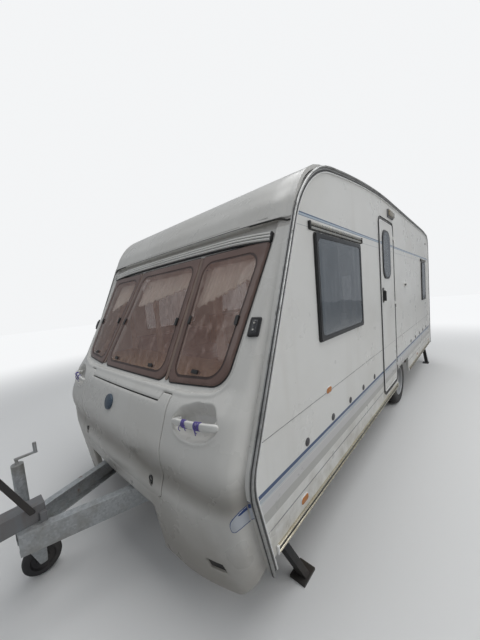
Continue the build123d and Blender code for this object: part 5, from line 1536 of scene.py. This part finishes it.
def build_side_details():
    stud = [(0.0001, -0.001), (0.0235, -0.001), (0.0240, 0.0020), (0.0215, 0.0038), (0.0150, 0.0040),
            (0.0125, 0.0062), (0.0070, 0.0070), (0.0001, 0.0072)]
    studs = [turned(stud, side, x, HALF_WIDTH, STUD_Z, 24) for x in STUD_XS for side in SIDES
             if side > 0 or not HATCH_SPAN[0] < x < HATCH_SPAN[1]]
    joined("side_studs", studs, STUD_GREY, "handle_grey")
    joint = [(0.0, 0.4865), (0.0018, 0.4870), (0.0018, 0.4890), (0.0, 0.4895)]
    crease = [(0.0, 0.9225), (0.0016, 0.9232), (0.0016, 0.9248), (0.0, 0.9255)]
    strips = [
        along_x(0.121, 2.135, joint),
        along_x(-3.405, -1.210, joint),
        along_x(0.121, 2.155, crease, sides=(1,)),
        along_x(-3.38, -0.490, crease, sides=(1,)),
        along_x(HATCH_SPAN[1], 2.155, crease, sides=(-1,)),
        along_x(-3.38, HATCH_SPAN[0], crease, sides=(-1,)),
    ]
    joined("side_joint_lines", strips, GREY, "rail_grey")
    lenses, rims = [], []
    for side in SIDES:
        lay = on_side(side)
        for x, z in REFLECTORS:
            area = (x - 0.041, x + 0.041, z - 0.0215, z + 0.0215)
            rims.append(frame_band(area, lay, 0.0, 0.0040, (0.0, 0.0200), (0.003, 0.0170), 8))
            lenses.append(pillow(area, 0.0025, 0.0172, lay, 0.0, 0.0062, 0.0079, 8))
    joined("side_reflector_lenses", lenses, AMBER, "amber", smooth=50.0, replaces="side_reflectors")
    joined("side_reflector_rims", rims, BEAD, "body_white")
    base = block((-0.500, -0.250), (1.0995, 1.1130), (2.307, 2.393), 0.012, 4)
    make("awning_lamp_base", *base, GREY, slot="handle_grey")
    lens = block((-0.488, -0.262), (1.1105, 1.1290), (2.319, 2.381), 0.0085, 4)
    make("awning_lamp_lens", *lens, OLD_LENS, slot="lamp_clear", smooth=50.0, replaces="awning_lamp")
    small = block((-3.082, -3.052), (1.0995, 1.1100), (2.268, 2.290), 0.004, 3)
    make("side_small_fitting", *small, BLACK, slot="lamp_black")
    knob = [(0.0001, 0.0), (0.0135, 0.0), (0.0150, 0.004), (0.0140, 0.010), (0.0100, 0.012), (0.0001, 0.012)]
    joined("door_catch_knob", [turned(knob, 1, -1.052, HALF_WIDTH + 0.0165, 1.560, 24)], BLACK, "lamp_black")


# Rooflights, seams and rear lamps

def on_roof(x):
    """Lays (forward, left, height over the roof) about a place on the roof"""
    def lay(a, b, h):
        return (x + a, b, ROOF_Z + h)
    return lay


def roof_z(x):
    top = np.array([p for p in outline_path() if p[1] > 2.2])
    return float(np.interp(x, top[:, 0], top[:, 1]))


def build_roof_details():
    domes, bases = [], []
    for x, half in ((-0.70, 0.23), (-2.30, 0.20)):
        lay = on_roof(x)
        area = (-half, half, -half, half)
        bases.append(frame_band(area, lay, 0.0003, 0.022, (0.0, 0.045), (0.050, 0.035)))
        bases.append(frame_band(area, lay, 0.020, 0.034, (0.012, 0.040), (0.050, 0.035)))
        domes.append(pillow(area, 0.018, 0.045, lay, 0.030, 0.052, 0.0795, 12))
    joined("rooflight_domes", domes, DOME, "body_white", smooth=50.0, replaces="rooflights")
    joined("rooflight_frames", bases, PLASTIC, "body_white", smooth=30.0)
    seams = []
    for y in (-0.62, 0.62):
        rows = [((x, y, roof_z(x)), LEFT, UP) for x in spread((-2.95, 1.20, 0.12))]
        seams.append(sweep(rows, [(-0.009, -0.002), (-0.007, 0.0022), (0.007, 0.0022), (0.009, -0.002)]))
    seam_x, slope = 1.221, 0.14
    rows = [((seam_x, y, roof_z(seam_x)), (1.0, 0.0, -slope), (slope, 0.0, 1.0))
            for y in spread((-1.066, 1.066, 0.1))]
    seams.append(sweep(rows, [(-0.014, -0.002), (-0.012, 0.003), (0.012, 0.003), (0.014, -0.002)]))
    joined("roof_seams", seams, BEAD, "body_white", smooth=30.0)


REAR_LENSES = [
    # name, foot z, top z, material, slot
    ("red", 0.690, 0.800, RED, "lamp_red"),
    ("amber", 0.872, 0.970, AMBER, "amber"),
    ("clear", 0.804, 0.868, CLEAR, "lamp_clear"),
]


def build_rear_details():
    for name, z0, z1, material, slot in REAR_LENSES:
        lenses = [pillow((0.889, 1.001, z0, z1), 0.0, 0.008, on_rear(side), 0.0, 0.034, 0.0390, 6)
                  for side in SIDES]
        joined("rear_lenses_" + name, lenses, material, slot, smooth=50.0)
    area = (0.880, 1.010, 0.680, 0.980)
    bodies = [frame_band(area, on_rear(side), 0.0, 0.030, (0.0, 0.018), (0.008, 0.012)) for side in SIDES]
    joined("rear_lamp_bodies", bodies, BLACK, "lamp_black", smooth=30.0, replaces="rear_lamps")


# Wheels

WHEEL_X = -0.846
WHEEL_Y = 0.966
WHEEL_Z = 0.300
TYRE_HALF = 0.088
TYRE_STEPS = 216
# Half section of the tyre as (radius, outward), from the bead over the shoulder to the middle groove
TYRE_SECTION = [(0.178, 0.076), (0.183, 0.0795), (0.192, 0.0800), (0.205, 0.0840), (0.225, 0.0875),
                (0.245, 0.0876), (0.262, 0.0850), (0.276, 0.0790), (0.286, 0.0715), (0.2935, 0.0610),
                (0.2970, 0.0520), (0.2985, 0.0460), (0.2985, 0.0270), (0.2925, 0.0260), (0.2925, 0.0210),
                (0.2995, 0.0200), (0.2995, 0.0060), (0.2930, 0.0050)]
BOLT_CIRCLE = 0.068


def build_wheels():
    for name, side in (("left", 1), ("right", -1)):
        build_tyre(name, side)
        build_wheel_details(name, side)


def build_tyre(name, side):
    """Tyre with cuts across its shoulders and its outer blocks"""
    section = TYRE_SECTION + [(r, -h) for r, h in TYRE_SECTION[::-1]] + [(0.174, -0.070), (0.174, 0.070)]
    n = len(section)
    verts = []
    for i in range(TYRE_STEPS):
        for k, (r, h) in enumerate(section):
            shoulder = 8 <= k <= 12 or n - 15 <= k <= n - 11
            outer_block = 12 <= k <= 17 or n - 20 <= k <= n - 15
            cut = (i + int(round(abs(h) * 110))) % 6 == 0
            drop = 0.0045 if cut and (shoulder or outer_block) and r > 0.292 else 0.0
            if cut and shoulder and 0.28 < r < 0.293:
                drop = 0.003
            a = 2 * math.pi * (i + 0.25 * (h / TYRE_HALF)) / TYRE_STEPS
            rr = r - drop
            verts.append((WHEEL_X + rr * math.cos(a), side * (WHEEL_Y + h), WHEEL_Z + rr * math.sin(a)))
    joined("tyre_tread_" + name, [(verts, strip_faces(TYRE_STEPS, n, True, flip=True))], TYRE, "tyre",
           body="wheel_" + name, smooth=32.0, replaces="tyre_" + name)


def build_wheel_details(name, side):
    body = "wheel_" + name
    hub = (WHEEL_X, WHEEL_Y, WHEEL_Z)
    bolt = [(0.0001, -0.004), (0.0100, -0.004), (0.0100, 0.009), (0.0085, 0.0110), (0.0001, 0.0115)]
    bolts = []
    for i in range(5):
        a = 2 * math.pi * i / 5 + 0.3
        bolts.append(turned(bolt, side, WHEEL_X + BOLT_CIRCLE * math.cos(a), WHEEL_Y + 0.0405,
                            WHEEL_Z + BOLT_CIRCLE * math.sin(a), 6))
    joined("wheel_bolts_" + name, bolts, GALVANISED, "galvanised", body=body, smooth=20.0)
    flange = [(0.1790, 0.0700), (0.1815, 0.0790), (0.1760, 0.0830), (0.1700, 0.0800), (0.1670, 0.0720),
              (0.1690, 0.0650)]
    dish = [(0.0450, 0.0395), (0.0560, 0.0410), (0.1000, 0.0412), (0.1100, 0.0455), (0.1120, 0.0400)]
    rings = [turned(section, side, *hub, 72) for section in (flange, [(r, -h) for r, h in flange], dish)]
    joined("wheel_flanges_" + name, rings, WHEEL, "wheel_silver", body=body)
    cap = [(0.0001, 0.0360), (0.0380, 0.0360), (0.0440, 0.0400), (0.0440, 0.0470), (0.0380, 0.0530),
           (0.0220, 0.0560), (0.0001, 0.0570)]
    joined("wheel_cap_" + name, [turned(cap, side, *hub, 48)], GREY, "handle_grey", body=body)
    valve = [((WHEEL_X + 0.150, side * (WHEEL_Y + out), WHEEL_Z), FORWARD, UP) for out in (0.040, 0.068)]
    joined("wheel_valve_" + name, [sweep(valve, circle(0.0042, 0.0042, 12))], RUBBER, "tyre", body=body)


# Soft furnishings

CUSHIONS = [
    # name, x from, x to, |y| from, |y| to, z from, z to
    ("seat_front_a", 1.290, 1.946, 0.452, 0.946, 0.882, 0.998),
    ("seat_front_b", 0.624, 1.284, 0.452, 0.946, 0.882, 0.998),
    ("back_front_a", 1.156, 1.676, 0.952, 1.062, 0.884, 1.256),
    ("back_front_b", 0.626, 1.150, 0.952, 1.062, 0.884, 1.256),
    ("seat_rear", -3.296, -2.334, 0.452, 0.946, 0.882, 0.998),
    ("back_rear", -3.294, -2.336, 0.952, 1.062, 0.884, 1.256),
]
SWELL_LIMIT = 0.012
SIM_FRAMES = 16
BACK_TOP_Z = 1.1


def evaluated_mesh(obj):
    """Copy of an object's mesh with its modifiers worked in"""
    graph = bpy.context.evaluated_depsgraph_get()
    return bpy.data.meshes.new_from_object(obj.evaluated_get(graph))


def points_of(mesh):
    return np.array([v.co[:] for v in mesh.vertices])


def cushion_mesh(x0, x1, y0, y1, z0, z1):
    """Closed box form with rounded edges, evenly divided so that the cloth can swell"""
    radius = min(x1 - x0, y1 - y0, z1 - z0) * 0.22
    form = block((x0 + 0.008, x1 - 0.008), (y0 + 0.008, y1 - 0.008), (z0 + 0.004, z1 - 0.012), radius, 3)
    obj = placed("cushion", mesh_of("cushion", *form))
    remesh = obj.modifiers.new("remesh", "REMESH")
    remesh.mode = "VOXEL"
    remesh.voxel_size = 0.016
    mesh = evaluated_mesh(obj)
    obj.modifiers.clear()
    obj.data = mesh
    return obj


def swell(obj, low, high):
    """Cloth with pressure inside, its swelling capped and kept inside the cushion's box"""
    rest = points_of(obj.data)
    cloth = obj.modifiers.new("cloth", "CLOTH")
    settings = cloth.settings
    settings.quality = 4
    settings.mass = 0.4
    settings.tension_stiffness = 18
    settings.compression_stiffness = 18
    settings.bending_stiffness = 2.5
    settings.use_pressure = True
    settings.uniform_pressure_force = 3.5
    settings.effector_weights.gravity = 0.0
    cloth.point_cache.frame_start = 1
    cloth.point_cache.frame_end = SIM_FRAMES
    scene = bpy.context.scene
    for f in range(1, SIM_FRAMES + 1):
        scene.frame_set(f)
    shift = points_of(evaluated_mesh(obj)) - rest
    length = np.linalg.norm(shift, axis=1)[:, None]
    shift *= np.minimum(1.0, SWELL_LIMIT / np.maximum(length, 1e-9))
    obj.modifiers.clear()
    scene.frame_set(1)
    return np.clip(rest + shift, low, high)


def crown(points, low, high):
    """Plain crowned shape that stands in while trying things out"""
    middle = (low + high) / 2
    half = (high - low) / 2
    near = 1 - np.abs((points - middle) / half)
    rise = 0.010 * np.clip(near[:, 0] * 3, 0, 1) * np.clip(near[:, 1] * 3, 0, 1)
    moved = points.copy()
    moved[:, 2] += rise * np.sign(points[:, 2] - middle[2])
    return np.clip(moved, low, high)


def sewn(points, low, high):
    """Shallow sewn line across the cushion's middle"""
    centre = (low + high) / 2
    depth = 0.006 * np.exp(-((points[:, 0] - centre[0]) / 0.010) ** 2)
    thin = 2 if high[2] - low[2] < 0.2 else 1
    moved = points.copy()
    moved[:, thin] -= depth * np.sign(points[:, thin] - centre[thin])
    return moved


def build_piping(name, x0, x1, y0, y1, z1, side):
    """Cord seam round the cushion's upper edge"""
    if z1 > BACK_TOP_Z:
        loop = oblong((x0 + 0.016, x1 - 0.016, 0.902, z1 - 0.020), 0.0, 0.030, 6)
        path = np.array([(a, side * (y0 + 0.010), b) for a, b in loop])
        up = LEFT
    else:
        loop = oblong((x0, x1, y0, y1), 0.016, 0.030, 6)
        path = np.array([(a, side * b, z1 - 0.016) for a, b in loop])
        up = UP
    run = np.roll(path, -1, axis=0) - np.roll(path, 1, axis=0)
    rows = [(p, np.cross(step / np.linalg.norm(step), up), up) for p, step in zip(path, run)]
    cord = sweep(rows, circle(0.0038, 0.0038, 8), closed_path=True)
    joined(name, [cord], PIPING, "upholstery", smooth=80.0)


def build_cushions():
    first = None
    for name, x0, x1, y0, y1, z0, z1 in CUSHIONS:
        obj = cushion_mesh(x0, x1, y0, y1, z0, z1)
        low = np.array((x0, y0, z0))
        high = np.array((x1, y1, z1))
        points = swell(obj, low, high)
        for v, p in zip(obj.data.vertices, sewn(points, low, high)):
            v.co = p
        for side, word in ((1, "left"), (-1, "right")):
            mesh = obj.data.copy()
            if side < 0:
                mesh.transform(Matrix.Scale(-1, 4, (0, 1, 0)))
                mesh.flip_normals()
            mesh.materials.clear()
            mesh.materials.append(UPHOLSTERY)
            mesh.shade_smooth()
            piece = placed("cushion_%s_%s" % (name, word), mesh)
            smooth = piece.modifiers.new("smooth", "SUBSURF")
            smooth.levels = 1
            smooth.render_levels = 1
            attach(piece, "caravan")
            first = first or piece
            build_piping("piping_%s_%s" % (name, word), x0, x1, y0, y1, z1, side)
        bpy.data.objects.remove(obj)
    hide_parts("seat_cushions")


def cloth_piece(name, rows, material, replaces=None):
    """Sheet from rows of points, thickened a little"""
    grid = np.array(rows)
    count, cols = grid.shape[:2]
    starts = [i * cols + j for i in range(count - 1) for j in range(cols - 1)]
    faces = [(a, a + cols, a + cols + 1, a + 1) for a in starts]
    piece = make(name, grid.reshape(-1, 3), faces, material, slot="curtain", smooth=180.0)
    thick = piece.modifiers.new("thick", "SOLIDIFY")
    thick.thickness = 0.0012
    thick.offset = 0.0
    if replaces:
        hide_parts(replaces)


CURTAINS = [
    # name, |y| from, |y| to, side
    ("middle_left", 0.384, 0.476, 1),
    ("middle_right", 0.384, 0.476, -1),
    ("outer_left", 0.914, 1.006, 1),
    ("outer_right", 0.914, 1.006, -1),
]
PELMETS = [
    # name, y from, y to, lowest z at one end, in the middle and at the other end
    ("middle", -0.380, 0.372, 1.600, 1.660, 1.742),
    ("left", 0.460, 0.925, 1.560, 1.640, 1.735),
    ("right", -0.925, -0.460, 1.560, 1.640, 1.735),
]


def curtain_point(s, t, y0, y1, side, index):
    """Point of a gathered curtain at s across it and t down it, both from 0 to 1"""
    tie = 1 - 0.42 * math.exp(-((t - 0.58) / 0.16) ** 2)
    y = (y0 + y1) / 2 + (s - 0.5) * (y1 - y0) * tie
    wave = math.sin(2 * math.pi * (s * 6.0 + 0.15 * math.sin(3 * t + index)))
    return (1.7150 + 0.0130 * wave * (0.75 + 0.25 * t), side * y, 1.846 - 0.732 * t)


def pelmet_point(s, t, y0, y1, low_a, low_m, low_b):
    """Point of a pale swag behind the window's top, at s across it and t down it"""
    low = low_a * (1 - s) * (1 - 2 * s) + low_m * 4 * s * (1 - s) + low_b * s * (2 * s - 1)
    low += 0.006 * math.sin(2 * math.pi * s * 9)
    p, normal = front_place(y0 + (y1 - y0) * s, 1.826 + (low - 1.826) * t)
    fold = 0.007 * math.sin(2 * math.pi * (s * 15 + 0.35 * t)) * (0.3 + 0.7 * t)
    return p - normal * (0.055 + fold)


def build_curtains():
    """Gathered curtains at the front mullions, and pale swags along the window tops"""
    for index, (name, y0, y1, side) in enumerate(CURTAINS):
        rows = [[curtain_point(j / 72, i / 45, y0, y1, side, index) for j in range(73)] for i in range(46)]
        cloth_piece("curtain_" + name, rows, CURTAIN, None if index else "front_curtains")
    for name, *numbers in PELMETS:
        rows = [[pelmet_point(j / 96, i / 18, *numbers) for j in range(97)] for i in range(19)]
        cloth_piece("pelmet_" + name, rows, PELMET)


# Materials and rounded edges of the CAD nodes that stay

CAD_LOOKS = [
    # material, rounding of the edges, nodes
    (WALLS, 0.0, "side_wall_left side_wall_right"),
    (WALLS, 0.0012, "entrance_door service_hatch"),
    (ROOF, 0.0, "roof_panel"),
    (REAR_MOULDING, 0.0, "rear_panel"),
    (REAR_MOULDING, 0.012, "rear_bumper"),
    (BRIGHT_METAL, 0.0010, "door_frame"),
    (SIDE_GLASS, 0.0015, "door_window"),
    (BLACK, 0.0, "hatch_box"),
    (BLACK, 0.0030, "door_handle"),
    (PLASTIC, 0.0015, "side_vents"),
    (PLASTIC, 0.0030, "door_catch"),
    (YELLOW, 0.0020, "number_plate"),
    (WOOD, 0.0, "locker_bulkhead"),
    (WOOD, 0.0015, "furniture seat_bases washroom_walls"),
    (PLY, 0.0, "floor_panel"),
    (PLY, 0.0030, "wheel_boxes"),
    (GALVANISED, 0.0010, "jockey_tube"),
    (GALVANISED, 0.0015, "chassis_rail_left chassis_rail_right jockey_outer_tube jockey_fork"),
    (GALVANISED, 0.0020, "axle_beam cross_members"),
    (GALVANISED, 0.0030, "trailing_arms"),
    (RED_PLASTIC, 0.0030, "coupling_handle"),
    (CAST, 0.0030, "coupling_head overrun_housing"),
    (RUBBER, 0.0015, "jockey_wheel"),
    (RUBBER, 0.0020, "hitch_gaiter"),
    (STEEL, 0.0015, "leg_brackets"),
    (STEEL, 0.0020, "handbrake_lever leg_front_left leg_front_right leg_rear_left leg_rear_right"),
    (WHEEL, 0.0015, "wheel_left wheel_right"),
]


def dress_nodes():
    for material, width, names in CAD_LOOKS:
        for name in names.split():
            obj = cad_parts[name]
            obj.data.materials.clear()
            obj.data.materials.append(material)
            if width:
                add_bevel(obj, width)


# Camera, floor and light

FOCAL = 258.630
EYE = (2.995, 1.807, 1.573)
YAW = math.radians(222.589)
PITCH = math.radians(-4.891)
ROLL = math.radians(4.903)
PICTURE = (480, 640)
SENSOR = 36.0
PALE = (0.90, 0.91, 0.92)
FLOOR_NEAR, FLOOR_FAR = 4.4, 9.5
FLOOR_HALF = 30
LIGHTS = [
    # name, place, aim, size, power
    ("lamp_top", (-0.5, 1.0, 7.5), (-0.5, 0.0, 1.0), 7.0, 290.0),
    ("lamp_side", (-1.0, 9.0, 5.0), (-0.5, 1.1, 1.3), 6.0, 220.0),
    ("lamp_front", (7.0, -3.0, 7.0), (2.0, 0.0, 1.6), 4.0, 36.0),
    ("lamp_rear", (-9.0, -5.0, 5.0), (-1.0, 0.0, 1.3), 6.0, 235.0),
]


def build_camera():
    forward = np.array((math.cos(YAW) * math.cos(PITCH), math.sin(YAW) * math.cos(PITCH), math.sin(PITCH)))
    right = np.array((math.sin(YAW), -math.cos(YAW), 0.0))
    down = np.cross(forward, right)
    across = math.cos(ROLL) * right + math.sin(ROLL) * down
    below = -math.sin(ROLL) * right + math.cos(ROLL) * down
    data = bpy.data.cameras.new("camera")
    data.sensor_width = SENSOR
    data.sensor_fit = "AUTO"
    data.lens = FOCAL / PICTURE[1] * SENSOR
    data.clip_start = 0.05
    data.clip_end = 200.0
    camera = placed("camera", data)
    camera.matrix_world = Matrix([(across[i], -below[i], -forward[i], EYE[i]) for i in range(3)]
                                 + [(0.0, 0.0, 0.0, 1.0)])
    bpy.context.scene.camera = camera


def seen_share(tree):
    """1 as the camera sees a surface, straight or through glass, and 0 for the light that it casts"""
    path = tree.nodes.new("ShaderNodeLightPath")
    add = tree.nodes.new("ShaderNodeMath")
    add.operation = "ADD"
    add.use_clamp = True
    tree.links.new(path.outputs["Is Camera Ray"], add.inputs[0])
    tree.links.new(path.outputs["Is Transmission Ray"], add.inputs[1])
    return add.outputs[0]


def seen_white(tree, plain, white=PALE):
    """One colour for the light that falls on things, and a pale one as the camera sees it"""
    mix = tree.nodes.new("ShaderNodeMix")
    mix.data_type = "RGBA"
    tree.links.new(seen_share(tree), mix.inputs[0])
    mix.inputs[6].default_value = plain + (1.0,)
    mix.inputs[7].default_value = white + (1.0,)
    return mix.outputs[2]


def build_floor():
    """Pale floor that fades into the background with the distance"""
    n = Nodes("pale_floor")
    colour = seen_white(n.tree, (0.46, 0.46, 0.455), (0.80, 0.80, 0.79))
    x, y = n.axis("X"), n.axis("Y")
    reach = n.math("SQRT", n.math("ADD", n.times(x, x), n.times(y, y)))
    share = n.times(n.remap(reach, FLOOR_NEAR, FLOOR_FAR), seen_share(n.tree))
    material = n.finish(base_color=n.mix(share, colour, (0.0, 0.0, 0.0)), roughness=0.9,
                        emission_color=PALE, emission_strength=share)
    corners = [(x * FLOOR_HALF, y * FLOOR_HALF, 0) for x, y in ((-1, -1), (1, -1), (1, 1), (-1, 1))]
    make("floor", corners, [(0, 1, 2, 3)], material, body=None)


def build_stage():
    build_floor()
    world = bpy.data.worlds.new("world")
    world.use_nodes = True
    tree = world.node_tree
    tree.nodes.clear()
    out = tree.nodes.new("ShaderNodeOutputWorld")
    back = tree.nodes.new("ShaderNodeBackground")
    tree.links.new(seen_white(tree, (0.30, 0.315, 0.335)), back.inputs[0])
    back.inputs[1].default_value = 1.0
    tree.links.new(back.outputs[0], out.inputs[0])
    bpy.context.scene.world = world
    for name, place, aim, size, power in LIGHTS:
        light = bpy.data.lights.new(name, "AREA")
        light.size = size
        light.energy = power
        lamp = placed(name, light)
        lamp.location = place
        lamp.rotation_euler = (Vector(aim) - Vector(place)).to_track_quat("-Z", "Y").to_euler()
    bpy.context.scene.view_settings.view_transform = "Standard"


build_camera()
build_front()
build_front_windows()
build_front_rails()
build_locker_tray()
build_front_fittings()
build_rails()
build_rear_corners()
build_skirt()
build_side_windows()
build_rear_window()
build_door_details()
build_side_details()
build_roof_details()
build_rear_details()
build_wheels()
build_cushions()
build_curtains()
dress_nodes()
build_stage()
